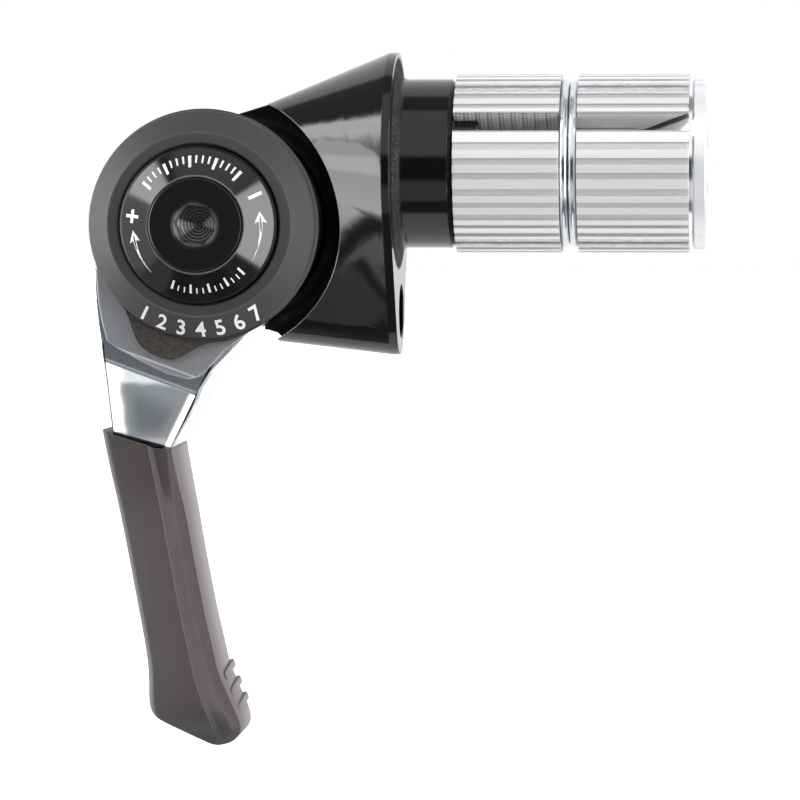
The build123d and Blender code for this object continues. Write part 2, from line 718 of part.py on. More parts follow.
with BuildPart() as expander_wedge:
    with BuildSketch(Plane.XY):
        cone_x0 = RAMP_X + (WEDGE_SLEEVE_R + WEDGE_GAP) / RAMP_SLOPE
        cone_x1 = RAMP_X + (WEDGE_NECK_R + WEDGE_GAP) / RAMP_SLOPE
        with BuildLine():
            Polyline(
                (WEDGE_SLEEVE_X0, WEDGE_BORE_R), (WEDGE_SLEEVE_X0, WEDGE_SLEEVE_R),
                (cone_x0, WEDGE_SLEEVE_R), (cone_x1, WEDGE_NECK_R),
                (WEDGE_RIM_X0 - 0.1, WEDGE_NECK_R), (WEDGE_RIM_X0, WEDGE_RIM_R - 0.1),
                (WEDGE_RIM_X0 + 0.1, WEDGE_RIM_R), (WEDGE_END - 0.15, WEDGE_RIM_R),
                (WEDGE_END, WEDGE_RIM_R - 0.15), (WEDGE_END, WEDGE_BORE_R), close=True,
            )
        make_face()
    revolve(axis=Axis.X)
    # ribs that stand in the slots, so the wedge can't turn with the bolt
    for angle in SLOT_ANGLES:
        with BuildSketch(slot_plane(WEDGE_SLEEVE_X0, angle)):
            with Locations((RIB_MIDDLE_R, 0)):
                Rectangle(RIB_HEIGHT, KEY_W)
        extrude(amount=RIB_LENGTH)
save(expander_wedge, "expander_wedge")

# each segment's flutes: degrees from its middle line, width, depth
FLUTES = [
    (-48.0, 0.6, 0.24), (-39.0, 0.8, 0.26), (-29.4, 0.6, 0.26), (-19.8, 0.7, 0.28),
    (-11.9, 0.5, 0.26), (-4.2, 0.8, 0.28), (5.0, 0.6, 0.26), (13.6, 0.8, 0.28),
    (24.3, 0.7, 0.28), (33.6, 0.7, 0.28), (43.5, 0.8, 0.26),
]
SECTOR_REACH = 24.0      # the sector that trims each segment reaches past its rim

# each segment follows the slot at the same place in SLOT_ANGLES
for name, slot_angle in zip(("segment_top", "segment_rear", "segment_front"), SLOT_ANGLES):
    middle = slot_angle + HALF_SECTOR
    sides = (middle - HALF_SECTOR, middle + HALF_SECTOR)
    with BuildPart() as segment:
        with BuildSketch(Plane.YZ.offset(SEG_X0)):
            Circle(SEG_R)
            Circle(SEG_BORE_R, mode=Mode.SUBTRACT)
            with BuildLine():
                Polyline(
                    (0, 0), around_bar(SECTOR_REACH, sides[0]), around_bar(SECTOR_REACH, middle),
                    around_bar(SECTOR_REACH, sides[1]), close=True,
                )
            make_face(mode=Mode.INTERSECT)
            for side in sides:
                Rectangle(40, SLOT_W, rotation=180 - side, mode=Mode.SUBTRACT)
            # longitudinal flutes, uneven as broached
            for offset, width, depth in FLUTES:
                angle = middle + offset
                with Locations(Location(around_bar(SEG_R, angle), 180 - angle)):
                    Rectangle(2 * depth, width, mode=Mode.SUBTRACT)
        extrude(amount=SEG_X1 - SEG_X0)
        # groove of the wire rings
        with BuildSketch(Plane.XY):
            with BuildLine():
                Polyline(
                    (GROOVE_X0, GROOVE_R), (GROOVE_X0, 12), (GROOVE_X1, 12),
                    (GROOVE_X1, GROOVE_R), close=True,
                )
            make_face()
        revolve(axis=Axis.X, mode=Mode.SUBTRACT)
        # conical ramp; its axis is moved across so the piece can slide out on the wedge
        middle_y, middle_z = around_bar(1, middle)
        ramp_origin = (0, -RAMP_SHIFT * middle_y, -RAMP_SHIFT * middle_z)
        with BuildSketch(
            Plane(origin=ramp_origin, x_dir=(1, 0, 0), z_dir=(0, -middle_z, middle_y))
        ):
            with BuildLine():
                Polyline(
                    (RAMP_X - RAMP_SHIFT / RAMP_SLOPE, 0),
                    (RAMP_END, (RAMP_END - RAMP_X) * RAMP_SLOPE + RAMP_SHIFT),
                    (RAMP_END, 0), close=True,
                )
            make_face()
        revolve(axis=Axis(ramp_origin, (1, 0, 0)), mode=Mode.SUBTRACT)
    save(segment, name)

with BuildPart() as ring_springs:
    with BuildSketch(Plane.XY):
        groove_middle = (GROOVE_X0 + GROOVE_X1) / 2
        with Locations(
            (groove_middle - RING_OFFSET, RING_MAJOR_R), (groove_middle + RING_OFFSET, RING_MAJOR_R)
        ):
            Circle(RING_WIRE_R)
    revolve(axis=Axis.X)
save(ring_springs, "ring_springs")
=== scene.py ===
# A hand lever on a bracket with an expanding plug. The plug lies along +X about the X axis.
# The hub turns about a line parallel to Y through the joint "lever_swing"; its dial faces -Y,
# the camera's side, and the lever with its rubber grip hangs towards -Z.
import bpy
import bmesh
import json
import math
import random
from functools import reduce
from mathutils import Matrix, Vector


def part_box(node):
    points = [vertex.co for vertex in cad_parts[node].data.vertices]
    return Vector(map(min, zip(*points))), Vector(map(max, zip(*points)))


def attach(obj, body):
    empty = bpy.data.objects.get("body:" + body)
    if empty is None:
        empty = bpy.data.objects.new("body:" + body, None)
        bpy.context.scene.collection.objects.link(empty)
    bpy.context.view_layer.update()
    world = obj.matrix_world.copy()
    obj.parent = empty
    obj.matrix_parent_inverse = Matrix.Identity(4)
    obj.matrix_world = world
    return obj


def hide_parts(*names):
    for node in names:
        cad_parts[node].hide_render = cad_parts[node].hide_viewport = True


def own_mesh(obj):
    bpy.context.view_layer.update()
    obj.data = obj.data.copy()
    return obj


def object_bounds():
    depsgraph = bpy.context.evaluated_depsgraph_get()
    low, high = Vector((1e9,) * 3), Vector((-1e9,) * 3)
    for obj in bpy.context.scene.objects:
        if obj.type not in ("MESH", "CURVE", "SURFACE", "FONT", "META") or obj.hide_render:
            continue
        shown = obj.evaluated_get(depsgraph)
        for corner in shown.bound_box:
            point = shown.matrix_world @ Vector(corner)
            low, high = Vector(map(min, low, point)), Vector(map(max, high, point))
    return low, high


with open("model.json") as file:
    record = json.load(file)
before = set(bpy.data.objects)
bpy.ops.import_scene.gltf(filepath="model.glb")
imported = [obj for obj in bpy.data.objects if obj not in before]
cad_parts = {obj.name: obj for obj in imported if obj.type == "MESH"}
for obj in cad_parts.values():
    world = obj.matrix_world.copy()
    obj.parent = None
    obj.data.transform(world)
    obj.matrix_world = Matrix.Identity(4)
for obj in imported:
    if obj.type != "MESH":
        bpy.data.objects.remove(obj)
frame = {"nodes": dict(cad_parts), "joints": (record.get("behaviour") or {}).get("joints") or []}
cad_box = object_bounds()
nodes = frame["nodes"]
MM = 0.001
random.seed(7)

swing = next(joint for joint in frame["joints"] if joint["name"] == "lever_swing")
PIVOT_X, _, PIVOT_Z = swing["pos_m"]

# Outline of the grip seen along +Y, in mm from the pivot, from the mouth down to the foot.
GRIP_STATIONS = [
    # -X side x, z; +X side x, z; depth of the ridge; depth of the side corner
    (-11.86, -22.6, -4.15, -24.62, 7.5, 6.75),
    (-11.2, -26.2, -3.5, -27.8, 7.4, 6.1),
    (-10.42, -30.2, -2.75, -31.5, 7.25, 5.3),
    (-9.6, -34.4, -2.05, -35.5, 7.25, 5.1),
    (-8.77, -38.8, -1.28, -39.6, 7.25, 5.1),
    (-8.1, -42.4, -0.6, -43.0, 7.25, 5.1),
    (-7.52, -45.6, 0.12, -46.1, 7.25, 5.1),
    (-7.15, -48.2, 0.75, -48.8, 7.25, 5.1),
    (-7.05, -50.0, 1.4, -50.5, 7.2, 5.1),
    (-7.05, -51.4, 2.0, -51.9, 7.15, 5.1),
    (-7.0, -52.4, 2.5, -53.0, 7.0, 5.05),
    (-6.85, -53.2, 2.92, -54.0, 6.6, 4.9),
    (-6.45, -53.95, 3.15, -54.9, 6.1, 4.65),
    (-5.4, -54.6, 3.08, -55.65, 5.55, 4.5),
    (-3.75, -55.4, 2.6, -56.3, 5.0, 4.3),
    (-2.2, -56.15, 1.9, -56.8, 4.6, 4.1),
    (-0.9, -56.75, 1.15, -57.05, 4.35, 3.9),
]


# ------------------------------------------------------------------ shader nodes
def feed(tree, target, value):
    """Links an input to a socket, or sets its value."""
    if isinstance(value, Signal):
        value = value.socket
    if isinstance(value, bpy.types.NodeSocket):
        tree.links.new(value, target)
    else:
        target.default_value = value


def add_node(tree, kind, *values, inputs=None, **settings):
    """A shader node with its settings; values fill its inputs in order, inputs by key."""
    node = tree.nodes.new("ShaderNode" + kind)
    for name, setting in settings.items():
        setattr(node, name, setting)
    for key, value in {**dict(enumerate(values)), **(inputs or {})}.items():
        feed(tree, node.inputs[key], value)
    return node


def add_math(tree, operation, *values):
    return add_node(tree, "Math", *values, operation=operation).outputs[0]


def add_ramp(tree, value, zero, one):
    """Goes smoothly from 0 where value is zero to 1 where it is one; either may be the larger."""
    ends = (zero, one, 0.0, 1.0) if zero < one else (one, zero, 1.0, 0.0)
    return add_node(tree, "MapRange", value, *ends, interpolation_type="SMOOTHSTEP").outputs[0]


class Signal:
    """A socket in a material; arithmetic on it adds Math nodes to the tree."""

    def __init__(self, tree, socket):
        self.tree = tree
        self.socket = socket

    def calculate(self, operation, *values):
        """A Math node whose inputs left over are zero."""
        values += (0.0,) * (3 - len(values))
        return Signal(self.tree, add_math(self.tree, operation, *values))

    def math(self, operation, *others):
        return self.calculate(operation, self, *others)

    def __add__(self, other):
        return self.calculate("ADD", self, other)

    def __radd__(self, other):
        return self.calculate("ADD", other, self)

    def __sub__(self, other):
        return self.calculate("SUBTRACT", self, other)

    def __rsub__(self, other):
        return self.calculate("SUBTRACT", other, self)

    def __mul__(self, other):
        return self.calculate("MULTIPLY", self, other)

    def ramp(self, zero, one):
        return Signal(self.tree, add_ramp(self.tree, self.socket, zero, one))

    def choose(self, kind, off, on):
        """A Mix node with this signal as its factor."""
        slot = ("FLOAT", "VECTOR", "RGBA").index(kind)
        mixed = {0: self, 2 * slot + 2: off, 2 * slot + 3: on}
        node = add_node(self.tree, "Mix", data_type=kind, inputs=mixed)
        return Signal(self.tree, node.outputs[slot])

    def level(self, off, on):
        """A number: off where the signal is 0, on where it is 1."""
        return self.choose("FLOAT", off, on)

    def color(self, off, on):
        """A colour: off where the signal is 0, on where it is 1."""
        ends = [(*end, 1.0) if isinstance(end, tuple) else end for end in (off, on)]
        return self.choose("RGBA", *ends)


def length_of(a, b):
    return (a * a + b * b).math("SQRT")


def union(masks):
    return reduce(lambda joined, mask: joined.math("MAXIMUM", mask), masks)


def tint(base, mask, color, opacity=None):
    """The base colour with another laid over it where the mask is 1."""
    if opacity is not None:
        mask = mask * opacity
    return mask.color(base, color)


SHADER_INPUTS = {
    "color": "Base Color", "rough": "Roughness", "metal": "Metallic", "normal": "Normal",
    "spec": "Specular IOR Level", "sheen": "Sheen Weight", "sheen_rough": "Sheen Roughness",
}


class MaterialNet:
    """A material's node tree around one Principled shader. Lengths are in metres."""

    def __init__(self, name):
        self.material = bpy.data.materials.new(name)
        self.material.use_nodes = True
        self.tree = self.material.node_tree
        self.tree.nodes.clear()
        self.shader = add_node(self.tree, "BsdfPrincipled")
        add_node(self.tree, "OutputMaterial", self.shader.outputs[0])
        self.point = self.node("TexCoord", output="Object")

    def node(self, kind, *values, output=0, **settings):
        made = add_node(self.tree, kind, *values, **settings)
        return Signal(self.tree, made.outputs[output])

    def split(self, vector):
        parts = add_node(self.tree, "SeparateXYZ", vector)
        return [Signal(self.tree, part) for part in parts.outputs]

    def position(self):
        return self.split(self.point)

    def facing(self):
        """The x, y and z of the surface's normal."""
        return self.split(self.node("NewGeometry", output="Normal"))

    def vector(self, x, y, z):
        return self.node("CombineXYZ", x, y, z)

    def noise(self, scale=1.0, detail=3.0, rough=0.6, stretch=None, vector=None):
        """Noise at the object's points, or at a vector; stretch scales the points by axis."""
        if stretch:
            vector = self.node("VectorMath", self.point, stretch, operation="MULTIPLY")
        return self.node("TexNoise", inputs={
            "Vector": vector or self.point, "Scale": scale, "Detail": detail, "Roughness": rough,
        })

    def bump(self, height, strength, distance, normal=None):
        inputs = {"Strength": strength, "Distance": distance, "Height": height}
        if normal is not None:
            inputs["Normal"] = normal
        return self.node("Bump", inputs=inputs)

    def bevel(self, radius, samples=4):
        return self.node("Bevel", radius, samples=samples)

    def edge(self, radius, zero, one):
        """1 near edges, 0 on open faces: how far the bevelled normal turns from the true one."""
        bevelled = self.bevel(radius, samples=6)
        true = self.node("NewGeometry", output="Normal")
        dot = self.node("VectorMath", bevelled, true, operation="DOT_PRODUCT", output="Value")
        return (1.0 - dot).ramp(zero, one)

    def rear(self, color, opacity):
        """Painted shade: the colour darkened where the surface faces +Y, away from the camera."""
        turned = self.facing()[1].ramp(zero=0.12, one=0.75)
        return tint(color, turned, (0.12, 0.12, 0.125), opacity)

    def finish(self, **looks):
        for name, look in looks.items():
            feed(self.tree, self.shader.inputs[SHADER_INPUTS[name]], look)
        return self.material


def rgb(*channels):
    """sRGB 0-255 to linear."""
    def linear(channel):
        channel /= 255.0
        return channel / 12.92 if channel <= 0.04045 else ((channel + 0.055) / 1.055) ** 2.4
    return tuple(linear(channel) for channel in channels)


# ------------------------------------------------------------------ materials
def bracket_paint():
    """Gloss black, with the casting showing at the foot of the stub."""
    net = MaterialNet("bracket_paint")
    x, y, z = net.position()
    radius = length_of(y, z)
    # rough fillet where the stub meets the flange
    foot = x.ramp(zero=-0.0001, one=0.0001) * x.ramp(zero=0.0010, one=0.0004)
    ring = radius.ramp(zero=0.0112, one=0.0102) * radius.ramp(zero=0.0088, one=0.0092)
    cast = foot * ring
    # matt flat face of the flange
    flat = (x.ramp(zero=-0.00012, one=-0.00004) * x.ramp(zero=0.00030, one=0.00020)
            * radius.ramp(zero=0.0118, one=0.0112))
    speck = net.noise(scale=12000, detail=4, rough=0.7)
    fine = net.noise(scale=1500, detail=2, rough=0.5)
    dust = net.noise(scale=2600, detail=2, rough=0.5).ramp(zero=0.74, one=0.8)
    base = (cast * speck.ramp(zero=0.52, one=0.66)).color(rgb(13, 11, 10), rgb(158, 152, 145))
    base = tint(base, dust, rgb(180, 175, 168), opacity=0.05)
    # paler edges: painted highlight along the edges, with some edge wear
    wear_and_edge_highlight = net.edge(radius=0.00022, zero=0.05, one=0.3)
    base = tint(base, wear_and_edge_highlight, rgb(120, 114, 108), opacity=0.12)
    # bare metal at the ends of the keys
    bare = net.noise(scale=2600, detail=2).ramp(zero=0.50, one=0.56)
    key = x.ramp(zero=0.00892, one=0.0091) * bare
    base = tint(base, key, rgb(176, 172, 168), opacity=0.8)
    dull = cast.math("MAXIMUM", flat)
    smooth = net.bump(fine, strength=0.06, distance=0.00003, normal=net.bevel(radius=0.00022))
    return net.finish(
        color=base,
        rough=dull.level(off=fine.level(off=0.05, on=0.09), on=0.62),
        spec=dull.level(off=0.5, on=0.10),
        normal=net.bump(speck, strength=cast.level(off=0.02, on=0.9), distance=0.00009,
                        normal=smooth),
    )


def cover_black():
    """Matt black ring round the dial, with a lumpier tab below it."""
    net = MaterialNet("cover_black")
    x, _, z = net.position()
    dx, dz = x - PIVOT_X, z - PIVOT_Z
    radius = length_of(dx, dz)
    tab = radius.ramp(zero=0.0118, one=0.0124) * dz.ramp(zero=-0.0075, one=-0.0090)
    grain = net.noise(scale=9000)
    cloud = net.noise(scale=900, rough=0.5)
    lumps = net.noise(scale=3800, detail=4, rough=0.65)
    # painted shade: the flat zone inside the ring's step is darker
    inner = radius.ramp(zero=0.00985, one=0.00975)
    # painted highlight: a thin pale circle on the step at the ring's inner edge
    line = radius.ramp(zero=0.00962, one=0.00972) * radius.ramp(zero=0.00995, one=0.00985)
    base = grain.color(rgb(60, 57, 58), rgb(70, 67, 68))
    base = tint(base, inner, rgb(50, 48, 49), opacity=0.3)
    lumpy = lumps.ramp(zero=0.42, one=0.64).color(rgb(54, 50, 48), rgb(72, 67, 63))
    base = tint(base, tab, lumpy)
    base = tint(base, line, rgb(96, 94, 95), opacity=0.5)
    # paler edges: painted highlight along the edges, with some edge wear
    wear_and_edge_highlight = net.edge(radius=0.00018, zero=0.03, one=0.3) * (1.0 - tab)
    base = tint(base, wear_and_edge_highlight, rgb(104, 102, 102), opacity=0.35)
    grained = net.bump(grain, strength=0.10, distance=0.00002, normal=net.bevel(radius=0.00016))
    return net.finish(
        color=base,
        rough=tab.level(off=cloud.level(off=0.46, on=0.56), on=0.6),
        spec=tab.level(off=0.24, on=0.25),
        normal=net.bump(lumps, strength=tab.level(off=0.0, on=0.35), distance=0.00006,
                        normal=grained),
    )


def dial_gloss():
    """Gloss black dial with a painted highlight on its inner lip, and a matt rim."""
    net = MaterialNet("dial_gloss")
    x, _, z = net.position()
    radius = length_of(x - PIVOT_X, z - PIVOT_Z)
    fine = net.noise(scale=1600, detail=2, rough=0.5)
    scratch = net.noise(scale=5200, detail=2, rough=0.4).ramp(zero=0.68, one=0.75)
    # paler edges: painted highlight along the edges, with some edge wear
    wear_and_edge_highlight = net.edge(radius=0.00016, zero=0.05, one=0.4)
    base = tint(rgb(14, 12, 12), wear_and_edge_highlight, rgb(120, 118, 116), opacity=0.35)
    # painted highlight: a pale line on the dial's inner lip
    lip = radius.ramp(zero=0.00530, one=0.00522)
    rim = radius.ramp(zero=0.00808, one=0.00816)
    base = tint(base, lip, rgb(128, 124, 122), opacity=0.6)
    glossy = scratch.level(off=fine.level(off=0.10, on=0.14), on=0.24)
    return net.finish(
        color=base, rough=rim.level(off=glossy, on=0.5), spec=rim.level(off=0.5, on=0.2),
        normal=net.bump(fine, strength=0.04, distance=0.00003,
                        normal=net.bevel(radius=0.00014)),
    )


def bolt_black():
    """Black bolt whose socket has spiral drill marks, painted with highlights: a bright bottom
    with two glints, and paler walls.
    """
    net = MaterialNet("bolt_black")
    x, y, z = net.position()
    dx, dz = x - PIVOT_X, z - PIVOT_Z
    radius = length_of(dx, dz)
    grain = net.noise(scale=11000, detail=2, rough=0.5)
    bore = y.ramp(zero=-0.01452, one=-0.01448) * radius.ramp(zero=0.0026, one=0.0022)
    angle = dz.math("ARCTAN2", dx)
    spiral_pitch = 0.00034
    spiral = (radius * (2 * math.pi / spiral_pitch) + angle * 2.0).math("SINE")
    # paler edges: painted highlight along the edges, with some edge wear
    wear_and_edge_highlight = net.edge(radius=0.00010, zero=0.05, one=0.35)
    base = grain.color(rgb(9, 8, 8), rgb(13, 11, 11))
    base = tint(base, wear_and_edge_highlight, rgb(120, 118, 118), opacity=0.75)
    # painted highlight: the socket's walls are painted paler
    walls = y.ramp(zero=-0.0169, one=-0.0167) * radius.ramp(zero=0.00245, one=0.0023)
    base = tint(base, walls, rgb(66, 62, 62))
    # painted glints: two opposite bright sectors, turned 0.15 rad from the X axis
    sector = (angle - 0.15).math("COSINE").math("ABSOLUTE")
    glint = sector.ramp(zero=0.86, one=0.97) * radius.ramp(zero=0.0002, one=0.0009)
    # painted highlight: the socket's bottom is painted bright, its spiral marks in light and dark
    # bands
    painted_bright_bottom = spiral.ramp(zero=-0.3, one=0.6).color(
        glint.color(rgb(34, 32, 32), rgb(150, 146, 146)),
        glint.color(rgb(112, 108, 108), rgb(255, 252, 252)),
    )
    grained = net.bump(grain, strength=0.04, distance=0.00002, normal=net.bevel(radius=0.0001))
    return net.finish(
        color=tint(base, bore, painted_bright_bottom),
        rough=bore.level(off=grain.level(off=0.3, on=0.38), on=0.28),
        spec=bore.math("MAXIMUM", walls).level(off=0.32, on=0.9),
        normal=net.bump(spiral, strength=bore * 0.5, distance=0.00006, normal=grained),
    )


def lever_polish():
    """Polished lever: satin hub plate and a long cushioned face falling to the grip."""
    net = MaterialNet("lever_polish")
    x, y, z = net.position()
    dx, dz = x - PIVOT_X, z - PIVOT_Z
    facing_y = net.facing()[1]
    plate = y.ramp(zero=-0.00972, one=-0.00979) * facing_y.ramp(zero=-0.97, one=-0.99)
    face = (dz.ramp(zero=-0.0136, one=-0.0142) * y.ramp(zero=-0.00562, one=-0.00572)
            * (y.ramp(zero=-0.00872, one=-0.00868) * facing_y.ramp(zero=-0.85, one=-0.93)))

    # noise drawn out into diagonal lines: full scale across them, a twentieth along them
    across = (x * 0.6 + z * 0.8) * 1.0
    along = (z * 0.6 - x * 0.8) * 0.05
    lines = net.noise(scale=14000, detail=2, vector=net.vector(across, along, y * 0.05))
    cloud = net.noise(scale=420, rough=0.5)
    fine = net.noise(scale=2600)
    bright = cloud.color((0.80, 0.82, 0.84), (0.90, 0.91, 0.92))
    satin = lines.color(rgb(158, 159, 162), rgb(180, 181, 183))
    # paler edges: painted highlight along the edges, with some edge wear
    wear_and_edge_highlight = net.edge(radius=0.00025, zero=0.02, one=0.3)
    color = tint(plate.color(bright, satin), wear_and_edge_highlight, (0.96, 0.97, 0.98), opacity=0.6)

    # millimetres from the pivot, and from the face's -X, +X and upper edges; each edge is
    # a line given by a point on it and its slope
    across_mm = dx * 1000.0
    up_mm = dz * 1000.0
    left = across_mm - (-11.05 - 15.9 * 0.0845 - up_mm * 0.0845)
    right = -0.85 + 17.9 * 0.515 + up_mm * 0.515 - across_mm
    top = -14.62 - 10.77 * 0.40 - across_mm * 0.40 - up_mm
    ripple = (cloud - 0.5) * 0.9

    # how far the normal leans towards each edge of the cushion
    lean_left = (left + ripple).ramp(zero=2.5, one=0.4)
    lean_right = right.ramp(zero=1.25, one=0.45)
    reach = 2.2 - (left + ripple) * 0.36
    lean_top = (top + ripple - reach).ramp(zero=1.0, one=-0.7)
    lean_low = up_mm.ramp(zero=-22.6, one=-24.4)
    pillow = net.vector(0.0, -0.997, -0.06)
    for lean, normal in (
        (lean_low * 0.7, (-0.05, -0.80, -0.60)),
        (lean_top, (-0.03, -0.889, 0.459)),
        (lean_right, (0.557, -0.83, 0.03)),
        (lean_left, (-0.733, -0.68, 0.02)),
    ):
        pillow = lean.choose("VECTOR", pillow, net.vector(*normal))
    face = face * (top.ramp(zero=-0.02, one=0.12) * right.ramp(zero=-0.02, one=0.08))

    # painted shade: darker middle of the face
    painted_dark_middle = ((left + ripple).ramp(zero=1.3, one=3.6) * right.ramp(zero=0.5, one=2.8)
            * ((top + ripple).ramp(zero=0.9, one=4.2) * up_mm.ramp(zero=-23.6, one=-21.6)))
    color = tint(color, painted_dark_middle * face, (0.30, 0.32, 0.35), opacity=0.66)
    # painted shade: a dark band above the grip's mouth, where the polished face mirrors the dark
    # rubber; it slopes down from its -X corner
    mouth_x, mouth_z = GRIP_STATIONS[0][:2]
    front = y.ramp(zero=-0.0055, one=-0.0056) * y.ramp(zero=-0.0088, one=-0.0087)
    above_mouth = up_mm + (-mouth_z + (across_mm + -mouth_x) * 0.262)
    lip = above_mouth.ramp(zero=0.62, one=0.40) * front
    color = tint(color, lip, (0.012, 0.011, 0.011), opacity=0.96)
    # painted shade: dark lines down both sides of the face
    right_shade_line = right.ramp(zero=0.16, one=0.05) * right.ramp(zero=-0.30, one=-0.15)
    painted_shade_lines = left.ramp(zero=0.24, one=0.10).math("MAXIMUM", right_shade_line)
    painted_shade_lines = painted_shade_lines * front * up_mm.ramp(zero=-12.5, one=-13.2)
    color = tint(color, painted_shade_lines, (0.02, 0.021, 0.023), opacity=0.96)

    cushioned = face.choose("VECTOR", net.bevel(radius=0.0003, samples=6), pillow)
    unit = net.node("VectorMath", cushioned, operation="NORMALIZE")
    polished = face.level(off=fine.level(off=0.12, on=0.20), on=fine.level(off=0.33, on=0.37))
    # the faces turned towards +Y get painted shade from rear()
    return net.finish(
        color=net.rear(color, opacity=0.62), metal=plate.level(off=0.92, on=1.0),
        rough=plate.level(off=polished, on=lines.level(off=0.46, on=0.56)),
        normal=net.bump(lines, strength=plate.level(off=0.0, on=0.10), distance=0.00003,
                        normal=net.bump(cloud, strength=0.05, distance=0.0002, normal=unit)),
    )


def grip_rubber():
    """Dark streaked rubber; a point attribute of painted light and shade lightens or darkens it.
    """
    net = MaterialNet("grip_rubber")
    _, y, _ = net.position()
    grain = net.noise(scale=9000, rough=0.65)
    cloud = net.noise(scale=300, rough=0.5)
    streak = net.noise(rough=0.55, stretch=(1600, 1600, 160))
    scuff = net.noise(scale=2300).ramp(zero=0.62, one=0.72) * cloud.ramp(zero=0.45, one=0.62)
    base = cloud.color(rgb(60, 56, 55), rgb(68, 64, 63))
    base = tint(base, streak.ramp(zero=0.45, one=0.75), rgb(84, 80, 78), opacity=0.18)
    base = tint(base, scuff, rgb(104, 100, 98), opacity=0.15)
    # painted light: the side facing +X is painted pale, more so towards +Y
    side = net.facing()[0].ramp(zero=0.80, one=0.97)
    pale = y.ramp(zero=-0.0045, one=0.0055).color(rgb(104, 97, 97), rgb(168, 160, 160))
    base = tint(base, side, pale, opacity=grain.level(off=0.5, on=0.85))
    # paler edges: painted highlight along the edges, with some edge wear
    wear_and_edge_highlight = net.edge(radius=0.0003, zero=0.03, one=0.35)
    base = tint(base, wear_and_edge_highlight, rgb(96, 92, 90), opacity=0.25)
    # painted light and shade across the sleeve, from the mesh attribute
    painted_shading = net.node("Attribute", attribute_name="painted_shading", output="Fac")
    base = net.node("VectorMath", operation="SCALE", inputs={0: base, "Scale": 1.0 + painted_shading})
    return net.finish(
        color=base, rough=grain.level(off=0.50, on=0.62),
        spec=0.35, sheen=0.06, sheen_rough=0.45,
        normal=net.bump(grain, strength=0.12, distance=0.00003,
                        normal=net.bump(streak, strength=0.05, distance=0.00008)),
    )


def segment_alu():
    """Aluminium of the plug segments, brushed along X, with sawn slots between them."""
    net = MaterialNet("segment_alu")
    x, y, z = net.position()
    radius = length_of(y, z)
    along = net.noise(detail=4, stretch=(130, 5200, 5200))
    fine = net.noise(stretch=(900, 16000, 16000))
    pits = net.noise(stretch=(3600, 6500, 6500)).ramp(zero=0.55, one=0.7)
    valley = radius.ramp(zero=0.00966, one=0.00950)

    # dull bands; degrees about +X, from -Y towards +Z
    turn = z.math("ARCTAN2", y * -1.0) * (180 / math.pi)
    dull = union([
        (turn - middle).math("WRAP", 180.0, -180.0).math("ABSOLUTE").ramp(zero=6.5, one=4.5)
        for middle in (57.0, -63.0, 177.0)
    ])

    # walls of the slots, and dark rims of painted shade beside them
    slot_half = 0.00105
    wall_masks, slot_edge_shade_masks = [], []
    for degrees in (27.0, 147.0, 267.0):
        angle = math.radians(degrees)
        off_middle = y * math.sin(angle) + z * math.cos(angle)
        outwards = y * -math.cos(angle) + z * math.sin(angle)
        here = outwards.ramp(zero=0.003, one=0.004)
        off_wall = (off_middle.math("ABSOLUTE") - slot_half).math("ABSOLUTE")
        wall_masks.append(off_wall.ramp(zero=0.00009, one=0.00003) * here)
        slot_edge_shade_masks.append(off_wall.ramp(zero=0.00024, one=0.00012) * here)
    walls = union(wall_masks)
    slot_edge_shade = union(slot_edge_shade_masks) * radius.ramp(zero=0.00945, one=0.00955)

    # saw marks: a fine and a coarse wave along X
    saw = walls * x.ramp(zero=0.0193, one=0.0187)
    fine_pitch, coarse_pitch = 0.00042, 0.00125
    fine_wave = (x * (2 * math.pi / fine_pitch)).math("SINE")
    coarse_wave = (x * (2 * math.pi / coarse_pitch)).math("SINE")
    teeth = fine_wave * 0.35 + coarse_wave * 0.3

    color = along.color((0.86, 0.86, 0.87), (0.97, 0.97, 0.975))
    # painted shade: darker in the valleys between the ridges
    color = tint(color, valley, (0.60, 0.60, 0.61), opacity=0.7)
    color = tint(color, dull, (0.52, 0.52, 0.54), opacity=fine.ramp(zero=0.35, one=0.6))
    color = tint(color, pits, (0.42, 0.42, 0.45), opacity=valley.level(off=0.12, on=0.35))
    color = tint(color, walls, (0.86, 0.86, 0.86), opacity=0.6)
    color = tint(color, saw, (0.45, 0.41, 0.37), opacity=teeth.ramp(zero=-0.2, one=0.5))
    # painted shade: dark rims along the edges of the slots
    color = tint(color, slot_edge_shade, (0.22, 0.21, 0.21), opacity=0.65)
    skin = pits.level(off=along.level(off=0.38, on=0.5), on=0.6)
    brushed = net.bump(fine, strength=0.14, distance=0.00003, normal=net.bevel(radius=0.0001))
    brushed = net.bump(along, strength=0.25, distance=0.00006, normal=brushed)
    # the faces turned towards +Y get painted shade from rear()
    return net.finish(
        color=net.rear(color, opacity=0.5), metal=walls.level(off=0.58, on=0.1),
        rough=walls.level(off=skin, on=0.65),
        normal=net.bump(teeth, strength=saw * 0.3, distance=0.00008, normal=brushed),
    )


